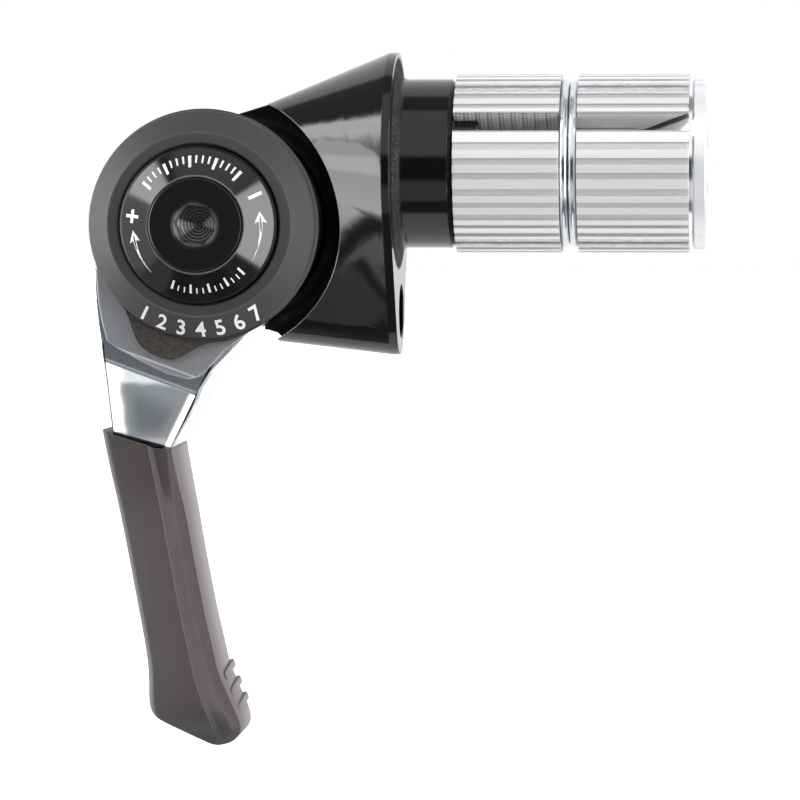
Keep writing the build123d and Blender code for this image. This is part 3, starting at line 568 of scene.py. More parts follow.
def wedge_zinc():
    """Turned zinc with bluish reflections painted as spots on the outer rim."""
    net = MaterialNet("wedge_zinc")
    x, y, z = net.position()
    turned = net.noise(detail=2, rough=0.5, stretch=(9000, 300, 300))
    cloud = net.noise(scale=500, rough=0.5)
    rim = x.ramp(zero=0.0320, one=0.0322) * length_of(y, z).ramp(zero=0.0091, one=0.0092)
    # painted reflection: bluish spots on the outer rim
    painted_reflection_spots = rim * net.noise(scale=260, detail=2, rough=0.5).ramp(zero=0.56, one=0.66)
    color = cloud.color((0.90, 0.91, 0.93), (0.97, 0.97, 0.98))
    color = tint(color, painted_reflection_spots, (0.62, 0.66, 0.74), opacity=0.7)
    # the faces turned towards +Y get painted shade from rear()
    return net.finish(
        color=net.rear(color, opacity=0.5), metal=rim.level(off=1.0, on=0.6),
        rough=rim.level(off=cloud.level(off=0.10, on=0.2), on=0.45),
        normal=net.bump(turned, strength=0.05, distance=0.00003,
                        normal=net.bevel(radius=0.0002)),
    )


def bright_steel(name, base, rough, scale):
    net = MaterialNet(name)
    cloud = net.noise(scale=scale)
    # paler edges: painted highlight along the edges, with some edge wear
    edge = net.edge(radius=0.00012, zero=0.05, one=0.35)
    color = cloud.color(base, tuple(min(1.0, channel * 1.18) for channel in base))
    return net.finish(
        color=tint(color, edge, (0.92, 0.93, 0.95), opacity=0.4), metal=1.0,
        rough=cloud.level(off=rough, on=rough + 0.12),
        normal=net.bump(cloud, strength=0.06, distance=0.00003,
                        normal=net.bevel(radius=0.0001)),
    )


def thread_steel():
    """Steel with a bumped thread along the shank, and painted shade in the thread's grooves."""
    net = MaterialNet("thread_steel")
    x, y, z = net.position()
    thread_pitch = 0.00125
    cloud = net.noise(scale=3200)
    shank = x.ramp(zero=0.0040, one=0.0046)
    helix = x * (2 * math.pi / thread_pitch) + z.math("ARCTAN2", y)
    thread = (helix.math("SINE") + 1.0) * 0.5
    color = cloud.color((0.50, 0.49, 0.48), (0.62, 0.61, 0.60))
    # painted shade: the thread's grooves are darker
    color = tint(color, shank, (0.18, 0.17, 0.16), opacity=thread.ramp(zero=0.5, one=0.1))
    return net.finish(
        color=color, metal=1.0, rough=cloud.level(off=0.28, on=0.42),
        normal=net.bump(thread, strength=shank * 0.9, distance=0.00045,
                        normal=net.bevel(radius=0.00012)),
    )


def moulded(name, low, high, rough, scale=2600):
    """A mottled plastic, rubber or fibre, painted paler at its edges as a highlight, with some
    edge wear.
    """
    net = MaterialNet(name)
    cloud = net.noise(scale=scale)
    # paler edges: painted highlight along the edges, with some edge wear
    edge = net.edge(radius=0.00015, zero=0.04, one=0.35)
    pale = tuple(min(1.0, channel * 2 + 0.05) for channel in high)
    return net.finish(
        color=tint(cloud.color(low, high), edge, pale, opacity=0.25),
        rough=cloud.level(off=rough, on=rough + 0.12), spec=0.45,
        normal=net.bump(cloud, strength=0.10, distance=0.00004,
                        normal=net.bevel(radius=0.0001)),
    )


def print_white():
    net = MaterialNet("print_white")
    cloud = net.noise(scale=5200)
    return net.finish(
        color=cloud.color(rgb(226, 224, 222), rgb(246, 245, 243)), rough=0.55, spec=0.3,
        normal=net.bump(cloud, strength=0.05, distance=0.00002),
    )


MATERIALS = {
    "bracket_paint": bracket_paint(),
    "cover_black": cover_black(),
    "dial_gloss": dial_gloss(),
    "bolt_black": bolt_black(),
    "lever_polish": lever_polish(),
    "grip_rubber": grip_rubber(),
    "segment_alu": segment_alu(),
    "wedge_zinc": wedge_zinc(),
    "spring_wire": bright_steel("spring_wire", base=(0.70, 0.73, 0.77), rough=0.10, scale=1800),
    "steel": bright_steel("steel", base=(0.62, 0.63, 0.66), rough=0.18, scale=4200),
    "thread_steel": thread_steel(),
    "drum_polymer": moulded("drum_polymer", rgb(24, 22, 22), rgb(34, 32, 31), rough=0.4),
    "washer_polymer": moulded("washer_polymer", rgb(38, 37, 38), rgb(50, 49, 50), rough=0.45),
    "friction_fibre": moulded("friction_fibre", rgb(120, 92, 62), rgb(146, 116, 82),
                              rough=0.7, scale=3600),
    "seal_rubber": moulded("seal_rubber", rgb(18, 17, 17), rgb(27, 26, 26), rough=0.5),
    "print_white": print_white(),
}
PIECE_MATERIALS = {
    "bracket_body": "bracket_paint", "pivot_post": "steel", "stop_pin": "steel",
    "base_washer": "washer_polymer", "cable_bush": "steel", "cable_drum": "drum_polymer",
    "lever_bush": "washer_polymer", "lever_arm": "lever_polish", "rubber_grip": "grip_rubber",
    "ratchet_ring": "steel", "click_spring": "spring_wire",
    "friction_washer": "friction_fibre", "keyed_washer": "steel", "disc_spring": "spring_wire",
    "pressure_plate": "steel", "cover_ring": "cover_black", "tension_dial": "dial_gloss",
    "dial_seal": "seal_rubber", "top_washer": "steel", "fixing_bolt": "bolt_black",
    "expander_bolt": "thread_steel", "bolt_washer": "steel", "expander_wedge": "wedge_zinc",
    "segment_top": "segment_alu", "segment_front": "segment_alu",
    "segment_rear": "segment_alu", "ring_springs": "spring_wire",
}
for name, piece in nodes.items():
    piece.data.materials.clear()
    piece.data.materials.append(MATERIALS[PIECE_MATERIALS[name]])
    piece.data.polygons.foreach_set("use_smooth", [True] * len(piece.data.polygons))


# ------------------------------------------------------------------ mesh helpers
def new_object(name, verts, faces, material, smooth=True, sharp=None):
    """An object from vertices and faces; sharp is the angle in degrees that stays an edge."""
    mesh = bpy.data.meshes.new(name)
    mesh.from_pydata([tuple(vert) for vert in verts], [], faces)
    mesh.validate()
    edit = bmesh.new()
    edit.from_mesh(mesh)
    bmesh.ops.recalc_face_normals(edit, faces=edit.faces)
    edit.to_mesh(mesh)
    edit.free()
    mesh.polygons.foreach_set("use_smooth", [smooth] * len(mesh.polygons))
    if sharp is not None:
        mesh.set_sharp_from_angle(angle=math.radians(sharp))
    mesh.materials.append(MATERIALS[material])
    made = bpy.data.objects.new(name, mesh)
    bpy.context.scene.collection.objects.link(made)
    return made


def loft(name, rings, material, closed=False, sharp=None):
    """A skin over equal rings of points: capped at both ends, or closed on itself."""
    count, size = len(rings), len(rings[0])
    faces = []
    for i in range(count if closed else count - 1):
        here, after = i * size, (i + 1) % count * size
        for k in range(size):
            beside = (k + 1) % size
            faces.append((here + k, here + beside, after + beside, after + k))
    if not closed:
        faces.append(tuple(range(size))[::-1])
        faces.append(tuple((count - 1) * size + k for k in range(size)))
    return new_object(name, [vert for ring in rings for vert in ring], faces, material,
                      sharp=sharp)


def around_pivot(angle, radius, depth):
    """A point at an angle (radians, +X to +Z) and radius about the pivot; mm in, metres out."""
    return Vector((PIVOT_X + radius * MM * math.cos(angle), depth * MM,
                   PIVOT_Z + radius * MM * math.sin(angle)))


def interpolate(table, place):
    """The value at a place in (place, value) pairs in order; the end values hold beyond."""
    for (place0, value0), (place1, value1) in zip(table, table[1:]):
        if min(place0, place1) <= place <= max(place0, place1):
            return value0 + (value1 - value0) * (place - place0) / (place1 - place0)
    return table[0][1] if place > table[0][0] else table[-1][1]


# ------------------------------------------------------------------ wire rings
# Each of the two rings is three arcs, one on each plug segment, whose ends lie side by side
# at the slots, so a ring stays whole as the segments move out.
WIRE_RADIUS = 0.45 * MM
ARC_HALF = 66.0      # degrees either side of the arc's middle
TAPER_FROM = 55.0    # degrees from the middle where the wire begins to thin
TAPER = 0.03
ARC_STEPS = 48
WIRE_SIDES = 18
SEGMENT_MIDDLES = {"plug_top": 87.0, "plug_front": -33.0, "plug_rear": 207.0}


def wire_arc(name, x, ring_radius, middle):
    """Wire round the X axis; angles run from -Y towards +Z."""
    rings = []
    for k in range(ARC_STEPS + 1):
        share = -1.0 + 2.0 * k / ARC_STEPS
        angle = math.radians(middle + share * ARC_HALF)
        radial = Vector((0, -math.cos(angle), math.sin(angle)))
        tail = max(0.0, abs(share) * ARC_HALF - TAPER_FROM) / (ARC_HALF - TAPER_FROM)
        radius = WIRE_RADIUS * (1.0 - TAPER * tail)
        center = Vector((x, 0, 0)) + radial * ring_radius
        turns = [2 * math.pi * side / WIRE_SIDES for side in range(WIRE_SIDES)]
        rings.append([
            center + Vector((1, 0, 0)) * (radius * math.cos(turn))
            + radial * (radius * math.sin(turn))
            for turn in turns
        ])
    return loft(name, rings, "spring_wire")


low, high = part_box("ring_springs")
for body, middle in SEGMENT_MIDDLES.items():
    for i, x in enumerate((low.x + WIRE_RADIUS, high.x - WIRE_RADIUS)):
        ring_radius = (high.y - low.y) / 2 - WIRE_RADIUS
        arc = wire_arc(f"ring_spring_{body}_{i + 1}", x, ring_radius, middle)
        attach(arc, body)
        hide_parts("ring_springs")


# ------------------------------------------------------------------ disc spring
# section of the conical spring under the pressure plate: mm from the pivot's axis, y in mm
DISC_SECTION = (
    (5.00, -7.34), (5.00, -6.94), (5.02, -6.92), (8.48, -6.222),
    (8.50, -6.24), (8.50, -6.64), (8.48, -6.66), (5.02, -7.358),
)
DISC_STEPS = 96

disc_rings = [
    [around_pivot(2 * math.pi * i / DISC_STEPS, radius, y) for radius, y in DISC_SECTION]
    for i in range(DISC_STEPS)
]
disc = loft("disc_spring_flexing", disc_rings, "spring_wire", closed=True, sharp=30)
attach(disc, "bracket")
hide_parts("disc_spring")
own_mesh(disc)

# ------------------------------------------------------------------ rubber grip
CORNER_STEPS = 5
GRIP_ROWS = 84
LIP_ROWS = 7.0       # rows over which the mouth's uneven edge fades out
RIDGE_PLACE = 0.69   # share of the width where the ridge runs
# rings of the mouth's inner wall, from the inside out
MOUTH_RINGS = (
    # inset mm, share of the way to the next station, share of the lip, rise mm
    (0.48, 0.6, 0.0, 0.0),
    (0.44, 0.0, 1.0, -0.14),
    (0.38, 0.0, 1.0, 0.02),
    (0.22, 0.0, 1.0, 0.07),
    (0.06, 0.0, 1.0, 0.05),
)
# rings that close the foot: scale of the last section, drop in mm
FOOT_RINGS = ((0.6, 0.16), (0.2, 0.22))
# painted light and shade across the sleeve: share of the width from the -X side, how much lighter
# or darker the rubber is painted there
GRIP_PAINTED_SHADING = (
    (0.0, 0.0), (0.03, 0.30), (0.10, 0.22), (0.20, 0.02), (0.60, -0.08), (0.672, -0.05),
    (0.69, 0.42), (0.70, -0.18), (0.75, -0.16), (0.80, 0.16), (0.86, 0.14), (0.92, -0.22),
    (0.97, -0.18), (1.0, 0.0),
)
PAINTED_SHADING_ROW = 40              # the row whose section is measured for the painted shading
PAINTED_SHADING_DEPTH = 3.9 * MM      # nearer the middle plane than this the rubber gets no painted shading


def round_corners(points, radii):
    """The closed 2-D polygon with its corners rounded, as a closed list of points."""
    out = []
    for i, radius in enumerate(radii):
        corner = Vector(points[i])
        back = Vector(points[i - 1]) - corner
        ahead = Vector(points[(i + 1) % len(points)]) - corner
        back_length, ahead_length = back.length, ahead.length
        back.normalize()
        ahead.normalize()
        half = math.acos(max(-1, min(1, back.dot(ahead)))) / 2
        # the arc takes less than half of either side
        cut = min(radius / max(math.tan(half), 1e-6), 0.48 * back_length, 0.48 * ahead_length)
        fitted = cut * math.tan(half)
        center = corner + (back + ahead).normalized() * (fitted / math.sin(half))
        start, end = corner + back * cut, corner + ahead * cut
        angle0 = math.atan2(start.y - center.y, start.x - center.x)
        angle1 = math.atan2(end.y - center.y, end.x - center.x)
        while angle1 - angle0 > math.pi:
            angle1 -= 2 * math.pi
        while angle1 - angle0 < -math.pi:
            angle1 += 2 * math.pi
        for k in range(CORNER_STEPS + 1):
            angle = angle0 + (angle1 - angle0) * k / CORNER_STEPS
            out.append(Vector((center.x + fitted * math.cos(angle),
                               center.y + fitted * math.sin(angle))))
    return out


def catmull(rows, share):
    """Catmull-Rom through a list of tuples, at a share 0..1 of its length."""
    last = len(rows) - 1
    place = share * last
    i = min(int(place), last - 1)
    u = place - i
    around = (rows[max(0, i - 1)], rows[i], rows[i + 1], rows[min(last, i + 2)])
    return [
        0.5 * ((2 * b) + (-a + c) * u + (2 * a - 5 * b + 4 * c - d) * u * u
               + (-a + 3 * b - 3 * c + d) * u ** 3)
        for a, b, c, d in zip(*around)
    ]


def grip_section(width, ridge, side, inset):
    """Rounded section of the sleeve: mm from the -X edge, y in mm."""
    peak = RIDGE_PLACE * width
    mouth = max(0.0, min(1.0, (side - 5.2) / 1.4))  # 1 near the mouth, 0 further down
    # the outer skin has a fine line on the ridge and a dip beside it
    line, dip = (0.08, 0.10) if inset == 0.0 else (0.0, 0.0)
    shoulder = max(-side - 0.95, -ridge + 0.34 - 0.12 * mouth)
    front = [
        (inset, -side + 1.1),
        (0.5 + 0.45 * inset, -side - 0.6 + 0.8 * inset),
        (peak - 0.10, -ridge + inset),
        (peak, -ridge - line + inset),
        (peak + 0.10, -ridge + inset),
        (peak + 0.55, -ridge + 0.22 + dip + inset),
        (width - 0.95 - 0.6 * inset + 0.55 * mouth, shoulder + inset),
        (width - inset, -side + 0.15 - 0.2 * mouth),
    ]
    radii = [0.8, 0.9, 0.05, 0.03, 0.05, 0.5, 1.0 - 0.7 * mouth, 0.35 - 0.15 * mouth]
    # the +Y half mirrors the front, shallower at the mouth
    back_depth = 1.0 - 0.19 * mouth
    back = [(x, -y * back_depth) for x, y in front[::-1]]
    return round_corners(front + back, radii + radii[::-1])


def lip_height(u, y):
    """The mouth's edge, mm: a dip near the +X front corner, then up along the side face."""
    height = -0.30 * math.exp(-((u - 0.80) / 0.10) ** 2) * (1.0 if y < 0 else 0.5)
    height += 0.30 * max(0.0, (u - 0.90) / 0.10) + 0.10 * math.sin(9.0 * u + 0.8 * y)
    return height + 0.16 * math.exp(-(u / 0.06) ** 2)


def grip_ring(station, inset=0.0, lip=0.0, rise=0.0):
    """A section put in its place at a station; lip is the share of the mouth's edge shape."""
    left_x, left_z, right_x, right_z, ridge, side = station
    width = math.hypot(right_x - left_x, right_z - left_z)
    run_x, run_z = (right_x - left_x) / width, (right_z - left_z) / width
    ring = []
    for point in grip_section(width, ridge, side, inset):
        lift = lip * lip_height(point.x / width, point.y) + rise
        x = left_x + run_x * point.x - lift * run_z * 0.6
        z = left_z + run_z * point.x + lift
        ring.append(Vector((PIVOT_X + x * MM, point.y * MM, PIVOT_Z + z * MM)))
    return ring


def foot_ring(foot, scale, drop):
    """The last section shrunk about its middle and lowered; it shrinks less in y."""
    middle_x = sum(point.x for point in foot) / len(foot)
    middle_z = sum(point.z for point in foot) / len(foot)
    return [
        Vector((middle_x + (point.x - middle_x) * scale,
                point.y * (1 - (1 - scale) * 0.35),
                middle_z + (point.z - middle_z) * scale - drop * MM))
        for point in foot
    ]


def build_grip():
    top, second = GRIP_STATIONS[:2]
    rings = []
    for inset, share, lip, rise in MOUTH_RINGS:
        station = [a + (b - a) * share for a, b in zip(top, second)]
        rings.append(grip_ring(station, inset, lip, rise))
    outer = [
        grip_ring(catmull(GRIP_STATIONS, i / GRIP_ROWS), lip=max(0.0, 1.0 - i / LIP_ROWS))
        for i in range(GRIP_ROWS + 1)
    ]
    rings += outer + [foot_ring(outer[-1], scale, drop) for scale, drop in FOOT_RINGS]
    sleeve = loft("grip_sleeve", rings, "grip_rubber", sharp=50)

    # painted light and shade across the sleeve's faces, kept as a point attribute
    painted_shading = sleeve.data.attributes.new("painted_shading", "FLOAT", "POINT")
    measured = outer[PAINTED_SHADING_ROW]
    across = [(point - measured[0]).x for point in measured]
    start, end = min(across), max(across)
    for k, point in enumerate(measured):
        shading_value = 0.0
        if abs(point.y) > PAINTED_SHADING_DEPTH:
            shading_value = interpolate(GRIP_PAINTED_SHADING, (across[k] - start) / (end - start))
        for i in range(len(rings)):
            painted_shading.data[i * len(measured) + k].value = shading_value

    # points of rounded corners that fall together become one
    edit = bmesh.new()
    edit.from_mesh(sleeve.data)
    bmesh.ops.remove_doubles(edit, verts=edit.verts, dist=2e-7)
    edit.to_mesh(sleeve.data)
    edit.free()
    return sleeve


grip = build_grip()
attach(grip, "lever")
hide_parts("rubber_grip")

# ------------------------------------------------------------------ bars on the grip's foot
# three raised bars on the +X side; mm from the pivot in x and z, tilt in degrees
BARS = ((0.98, -49.42, 22.0), (1.7, -51.28, 23.0), (2.46, -53.08, 22.0))
BAR_Y = 1.75 * MM
BAR_LENGTH = 8.0 * MM
BAR_WIDTH = 0.9 * MM
BAR_HEIGHT = 0.24 * MM
BAR_SIDES = 28
# share of the width, share of the height, from below the surface to the top
BAR_LEVELS = (
    (1.06, -0.45), (1.02, 0.0), (1.0, 0.62), (0.95, 0.84), (0.82, 0.97), (0.6, 1.0),
    (0.25, 1.02),
)


def rounded_bar(name, center, along, across, out):
    """A bar with a rounded top and ends, lying on a face whose normal is out."""
    along, across, out = (Vector(axis).normalized() for axis in (along, across, out))
    straight = BAR_LENGTH / 2 - BAR_WIDTH / 2
    rings = []
    for scale, level in BAR_LEVELS:
        ring = []
        for k in range(BAR_SIDES):
            angle = 2 * math.pi * k / BAR_SIDES
            cosine = math.cos(angle)
            # the two points on the middle line belong to neither end
            shift = math.copysign(straight, cosine) if abs(cosine) > 1e-6 else 0.0
            ring.append(Vector(center)
                        + along * (shift + cosine * BAR_WIDTH / 2 * scale)
                        + across * (math.sin(angle) * BAR_WIDTH / 2 * scale)
                        + out * (level * BAR_HEIGHT))
        rings.append(ring)
    return loft(name, rings, "grip_rubber")


for i, (x, z, tilt) in enumerate(BARS):
    cosine, sine = math.cos(math.radians(tilt)), math.sin(math.radians(tilt))
    bar = rounded_bar(
        f"grip_bar_{i + 1}", center=(PIVOT_X + x * MM, BAR_Y, PIVOT_Z + z * MM),
        along=(0, 1, 0.085), across=(-sine, 0, cosine), out=(cosine, 0, sine),
    )
    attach(bar, "lever")

# ------------------------------------------------------------------ print on dial and ring
# Shapes are outlines of (degrees from +X to +Z, radius in mm) about the pivot.
# the turned faces that carry them: radius, y, in mm
DIAL_FACE = [(8.2, -14.6), (5.22, -16.6)]
COVER_FACE = [(12.05, -12.0), (9.83, -13.95)]
PRINT_LIFTS = (0.035, -0.03)  # mm above the face, of the skin's front and back


def build_print(name, shapes, face_profile, body):
    """Thin closed skins on a turned face; a shape is its points and the faces over them."""
    verts, faces = [], []
    for points, shape_faces in shapes:
        front, back = len(verts), len(verts) + len(points)
        for lift in PRINT_LIFTS:
            for degrees, radius in points:
                depth = interpolate(face_profile, radius) - lift
                verts.append(around_pivot(math.radians(degrees), radius, depth))
        edge_uses = {}
        for face in shape_faces:
            faces.append(tuple(front + i for i in face))
            faces.append(tuple(back + i for i in face)[::-1])
            for i, start in enumerate(face):
                edge = (start, face[(i + 1) % len(face)])
                edge_uses.setdefault(tuple(sorted(edge)), []).append(edge)
        # walls stand on the edges that only one face uses
        for uses in edge_uses.values():
            if len(uses) == 1:
                start, end = uses[0]
                faces.append((front + start, back + start, back + end, front + end))
    printed = new_object(name, verts, faces, "print_white", smooth=False)
    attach(printed, body)


def print_on_dial(name, outlines):
    shapes = [(outline, [range(len(outline))]) for outline in outlines]
    build_print(name, shapes, DIAL_FACE, "dial")


def tick(middle, half_width, inner, outer, steps=3):
    start, end = middle - half_width, middle + half_width
    upper = [(start + (end - start) * k / steps, outer) for k in range(steps + 1)]
    lower = [(end - (end - start) * k / steps, inner) for k in range(steps + 1)]
    return upper + lower


def tick_scale(start, span, gaps, long_every, long, short, outer):
    """Ticks over an arc; long and short are (half width in degrees, inner radius)."""
    return [
        tick(start + k * (span / gaps), *(short if k % long_every else long), outer)
        for k in range(gaps + 1)
    ]


def sign_outline(middle, points, radius=6.95):
    """Points (mm across, mm outwards) around a spot on the dial."""
    return [
        (middle - math.degrees(math.atan2(across, radius + outwards)),
         math.hypot(radius + outwards, across))
        for across, outwards in points
    ]


def arrow(tail, tip):
    """A curved arrow between two angles: thin at the tail, wide at the neck, then a head."""
    tail_radius, tip_radius = 7.0, 6.85
    tail_width, growth = 0.03, 0.34
    head_degrees, barb_degrees, barb_reach = 9, 1.5, 0.62
    steps = 18
    sign = 1 if tip > tail else -1
    neck = tip - sign * head_degrees
    outer, inner = [], []
    for k in range(steps + 1):
        share = k / steps
        degrees = tail + (neck - tail) * share
        radius = tail_radius + (tip_radius - tail_radius) * share
        width = tail_width + growth * share ** 1.3
        outer.append((degrees, radius + width / 2))
        inner.append((degrees, radius - width / 2))
    barb = neck - sign * barb_degrees
    head = [(barb, tip_radius + barb_reach), (tip, tip_radius), (barb, tip_radius - barb_reach)]
    return outer + head + inner[::-1]


def glyph_shape(character, size):
    """A character's points, centred on it, and its faces."""
    curve = bpy.data.curves.new("glyph", "FONT")
    curve.body = character
    curve.size = size
    curve.resolution_u = 6
    curve.offset = 0.02 * size
    holder = bpy.data.objects.new("glyph", curve)
    bpy.context.scene.collection.objects.link(holder)
    bpy.context.view_layer.update()
    depsgraph = bpy.context.evaluated_depsgraph_get()
    mesh = bpy.data.meshes.new_from_object(holder.evaluated_get(depsgraph))
    edit = bmesh.new()
    edit.from_mesh(mesh)
    bmesh.ops.remove_doubles(edit, verts=edit.verts, dist=1e-5 * size)
    xs = [vert.co.x for vert in edit.verts]
    ys = [vert.co.y for vert in edit.verts]
    center_x = (min(xs) + max(xs)) / 2
    center_y = (min(ys) + max(ys)) / 2
    points = [(x - center_x, y - center_y) for x, y in zip(xs, ys)]
    edit.verts.index_update()
    faces = [[vert.index for vert in face.verts] for face in edit.faces]
    edit.free()
    bpy.data.meshes.remove(mesh)
    bpy.data.objects.remove(holder)
    bpy.data.curves.remove(curve)
    return points, faces


def digit_shapes(text, start, end, radius, size):
    """Digits along an arc below the pivot, their feet towards the rim."""
    shapes = []
    for k, character in enumerate(text):
        points, faces = glyph_shape(character, size)
        middle = start + (end - start) * (k + 0.5) / len(text)
        placed = [(middle + math.degrees(x / radius), radius - y) for x, y in points]
        shapes.append((placed, faces))
    return shapes


SIGN_REACH = 0.72
MINUS_HALF = 0.18
PLUS_HALF = 0.17
MINUS = [(-MINUS_HALF, -SIGN_REACH), (MINUS_HALF, -SIGN_REACH),
         (MINUS_HALF, SIGN_REACH), (-MINUS_HALF, SIGN_REACH)]
PLUS = [
    (-PLUS_HALF, -SIGN_REACH), (PLUS_HALF, -SIGN_REACH), (PLUS_HALF, -PLUS_HALF),
    (SIGN_REACH, -PLUS_HALF), (SIGN_REACH, PLUS_HALF), (PLUS_HALF, PLUS_HALF),
    (PLUS_HALF, SIGN_REACH), (-PLUS_HALF, SIGN_REACH), (-PLUS_HALF, PLUS_HALF),
    (-SIGN_REACH, PLUS_HALF), (-SIGN_REACH, -PLUS_HALF), (-PLUS_HALF, -PLUS_HALF),
]
print_on_dial("dial_ticks", tick_scale(
    start=50.0, span=92.0, gaps=16, long_every=4, long=(1.35, 6.1), short=(0.8, 6.55),
    outer=7.35,
))
print_on_dial("dial_minus", [sign_outline(26.5, MINUS)])
print_on_dial("dial_plus", [sign_outline(172.5, PLUS)])
print_on_dial("dial_arrow_right", [arrow(tail=-33, tip=12)])
print_on_dial("dial_arrow_left", [arrow(tail=226, tip=185)])
print_on_dial("dial_low_ticks", tick_scale(
    start=248.0, span=66.0, gaps=12, long_every=3, long=(1.0, 6.35), short=(0.55, 6.7),
    outer=7.3,
))
numbers = digit_shapes("1234567", start=232.0, end=308.0, radius=11.15, size=2.25)
build_print("cover_numbers", numbers, COVER_FACE, "lever")

# ------------------------------------------------------------------ world
# A white tent with softboxes, drawn by direction in degrees: azimuth 0 is -Y, the camera's
# side, and +90 is +X. Each layer is painted over the ones before it.
TENT_STRENGTH = 1.05
ROOM = [
    # strength, blue, azimuth range (None: all round), elevation range, blur of each
    (0.22, 0.0, (-125, 118), (-78, 62), 8, 8),           # dim front half
    (1.0, 0.0, (-52, 50), (12, 92), 8, 10),              # white ceiling in front
    (0.25, 0.0, None, (78, 88), 5, 5),                   # gap overhead
    (0.62, 0.0, (-70, 42), (-50, -24), 6, 6),            # pale table in front, below
    (1.1, 0.0, (-128, -84), (-52, -30), 5, 5),           # its bright -X end
    (0.14, 0.25, (-60, 70), (-68, -56), 5, 5),           # dark table edge
    (1.15, 0.0, None, (-92, -74), 5, 5),                 # white table under the part
    (0.07, 0.30, (-28, 26), (-20, 5), 9, 7),             # the dark camera side
]
LEFT_BOX = [
    (1.3, 0.0, (-84, -62), (-32, 30), 4, 4),             # wing of the -X softbox
    (8.0, 0.0, (-116, -84), (-22, 26), 2.5, 2.5),        # the softbox
    (7.0, 0.0, (-88, -62), (22, 44), 4, 4),              # its upper end, turned in
]
LEFT_BOX_DETAILED = [
    (0.75, 0.0, (-100, -45), (-62, -45), 2.5, 2.5),      # floor beyond the softbox
    (0.28, 0.0, (-104, -50), (-43, -40), 1.2, 1.2),      # a dark edge
    (1.35, 0.0, (-104, -68), (-39.2, -33.6), 1.2, 1.2),  # a lit shelf
    (0.15, 0.0, (-112, -60), (-32.4, -29.5), 1.0, 1.0),  # shadow under the softbox
    (1.3, 0.0, (-78, -62), (-28, 28), 3, 3),             # its wing
    (5.9, 0.0, (-118, -79), (-27.5, 28.5), 1.2, 1.2),    # the softbox
    (7.8, 0.0, (-118, -79), (-6, 2), 1.2, 3),            # brighter about its lamp
    (9.8, 0.0, (-118, -79), (19, 28.5), 1.2, 1.2),       # and towards its upper end
]
RIGHT_BOX = [
    (7.5, 0.0, (52, 73), (-33, 33), 2.5, 2.5),           # +X softbox
    (1.1, 0.0, (75, 100), (-33, 33), 3, 3),              # wall beside it
]


def band(tree, value, limits, blur):
    """1 between the limits, falling to 0 over blur degrees outside."""
    low, high = limits
    rise = add_ramp(tree, value, zero=low - blur, one=low)
    fall = add_ramp(tree, value, zero=high + blur, one=high)
    return add_math(tree, "MULTIPLY", rise, fall)


def sky_group(name, layers):
    """A node group from direction to light."""
    tree = bpy.data.node_groups.new(name, "ShaderNodeTree")
    tree.interface.new_socket("Direction", in_out="INPUT", socket_type="NodeSocketVector")
    tree.interface.new_socket("Color", in_out="OUTPUT", socket_type="NodeSocketColor")
    entry = tree.nodes.new("NodeGroupInput")
    leave = tree.nodes.new("NodeGroupOutput")
    x, y, z = add_node(tree, "SeparateXYZ", entry.outputs[0]).outputs
    forward = add_math(tree, "MULTIPLY", y, -1.0)
    to_degrees = 180 / math.pi
    azimuth = add_math(tree, "MULTIPLY", add_math(tree, "ARCTAN2", x, forward), to_degrees)
    elevation = add_math(tree, "MULTIPLY", add_math(tree, "ARCSINE", z), to_degrees)
    tent = add_node(tree, "RGB")
    tent.outputs[0].default_value = (TENT_STRENGTH, TENT_STRENGTH, TENT_STRENGTH, 1.0)
    sky = tent.outputs[0]
    for strength, blue, azimuths, elevations, azimuth_blur, elevation_blur in layers:
        mask = band(tree, elevation, elevations, elevation_blur)
        if azimuths:
            sector = band(tree, azimuth, azimuths, azimuth_blur)
            mask = add_math(tree, "MULTIPLY", sector, mask)
        color = (strength * (1 - blue), strength, strength * (1 + blue), 1.0)
        layer = add_node(tree, "Mix", data_type="RGBA", inputs={0: mask, 6: sky, 7: color})
        sky = layer.outputs[2]
    feed(tree, leave.inputs[0], sky)
    return tree


def build_world(sky):
    """The sky lights the scene; the camera sees plain white."""
    world = bpy.data.worlds.new("studio")
    bpy.context.scene.world = world
    world.use_nodes = True
    tree = world.node_tree
    tree.nodes.clear()
    direction = add_node(tree, "TexCoord").outputs["Generated"]
    light = add_node(tree, "Group", node_tree=sky)
    feed(tree, light.inputs[0], direction)
    lit = add_node(tree, "Background", light.outputs[0], 1.0)
    white = add_node(tree, "Background", (1, 1, 1, 1), 1.0)
    to_camera = add_node(tree, "LightPath").outputs["Is Camera Ray"]
    either = add_node(tree, "MixShader", to_camera, lit.outputs[0], white.outputs[0])
    add_node(tree, "OutputWorld", either.outputs[0])


def clear_of(material, sky):
    """Mirrored rays heading towards -X that meet the material see the sky in its place."""
    tree = material.node_tree
    shaded = next(node for node in tree.nodes if node.type == "BSDF_PRINCIPLED")
    output = next(node for node in tree.nodes if node.type == "OUTPUT_MATERIAL")
    incoming = add_node(tree, "NewGeometry").outputs["Incoming"]
    ray = add_node(tree, "VectorMath", operation="SCALE",
                   inputs={0: incoming, "Scale": -1.0}).outputs[0]
    ray_x = add_node(tree, "SeparateXYZ", ray).outputs[0]
    towards = add_math(tree, "LESS_THAN", ray_x, -0.66)
    glossy = add_node(tree, "LightPath").outputs["Is Glossy Ray"]
    seen = add_math(tree, "MULTIPLY", towards, glossy)
    look = add_node(tree, "Group", node_tree=sky)
    feed(tree, look.inputs[0], ray)
    glow = add_node(tree, "Emission", look.outputs[0])
    either = add_node(tree, "MixShader", seen, shaded.outputs[0], glow.outputs[0])
    feed(tree, output.inputs[0], either.outputs[0])
    material.cycles.emission_sampling = "NONE"


sky_room = sky_group("studio_sky", ROOM + LEFT_BOX + RIGHT_BOX)
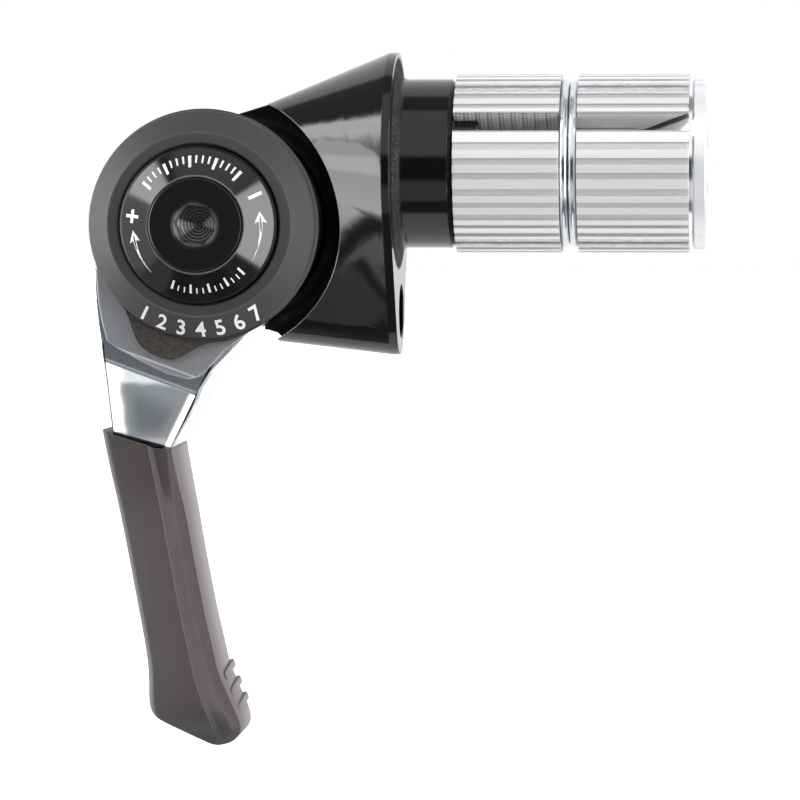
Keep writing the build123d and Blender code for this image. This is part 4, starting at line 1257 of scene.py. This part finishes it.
# what the bracket's shell mirrors past the hub
sky_left = sky_group("studio_sky_left", ROOM + LEFT_BOX_DETAILED + RIGHT_BOX)
build_world(sky_room)
for name in ("cover_black", "lever_polish", "drum_polymer", "washer_polymer"):
    clear_of(MATERIALS[name], sky_left)

# ------------------------------------------------------------------ floor
FLOOR_HALF = 3.0
FLOOR_STEP = 0.5
FLOOR_ROWS = 13
FLOOR_GAP = 0.004   # below the lowest point of the product


def floor_white():
    material = bpy.data.materials.new("floor_white")
    material.use_nodes = True
    inputs = material.node_tree.nodes["Principled BSDF"].inputs
    inputs["Base Color"].default_value = (0.9, 0.9, 0.9, 1)
    inputs["Roughness"].default_value = 0.8
    inputs["Specular IOR Level"].default_value = 0.1
    inputs["Emission Color"].default_value = (1, 1, 1, 1)
    inputs["Emission Strength"].default_value = 0.45
    return material


def build_floor():
    """A flat pale floor in strips along Y, seen by the camera but not by reflections."""
    z = cad_box[0][2] - FLOOR_GAP
    verts = [
        (x, -FLOOR_HALF + k * FLOOR_STEP, z)
        for x in (-FLOOR_HALF, FLOOR_HALF) for k in range(FLOOR_ROWS)
    ]
    faces = [(k, k + 1, FLOOR_ROWS + k + 1, FLOOR_ROWS + k) for k in range(FLOOR_ROWS - 1)]
    mesh = bpy.data.meshes.new("floor")
    mesh.from_pydata(verts, [], faces)
    mesh.polygons.foreach_set("use_smooth", [True] * len(mesh.polygons))
    floor = bpy.data.objects.new("floor", mesh)
    bpy.context.scene.collection.objects.link(floor)
    mesh.materials.append(floor_white())
    floor.visible_glossy = False
    floor.visible_diffuse = False
    floor.visible_shadow = False


build_floor()

# ------------------------------------------------------------------ camera
CAMERA_AZIMUTH = math.radians(5.0)     # from -Y towards +X
CAMERA_ELEVATION = math.radians(3.0)
CAMERA_DISTANCE = 0.417
CAMERA_TARGET = Vector((0.0001098, 0.0, -0.025893))


def build_camera():
    to_camera = Vector((
        math.sin(CAMERA_AZIMUTH) * math.cos(CAMERA_ELEVATION),
        -math.cos(CAMERA_AZIMUTH) * math.cos(CAMERA_ELEVATION),
        math.sin(CAMERA_ELEVATION),
    ))
    lens = bpy.data.cameras.new("camera")
    lens.lens = 171.0
    lens.sensor_width = 36.0
    lens.sensor_fit = "HORIZONTAL"
    lens.clip_start = 0.01
    lens.clip_end = 20.0
    camera = bpy.data.objects.new("camera", lens)
    bpy.context.scene.collection.objects.link(camera)
    camera.location = CAMERA_TARGET + to_camera * CAMERA_DISTANCE
    camera.rotation_euler = (-to_camera).to_track_quat("-Z", "Y").to_euler()
    bpy.context.scene.camera = camera


build_camera()
bpy.context.scene.view_settings.view_transform = "Standard"
bpy.context.scene.view_settings.look = "None"


bpy.context.view_layer.update()
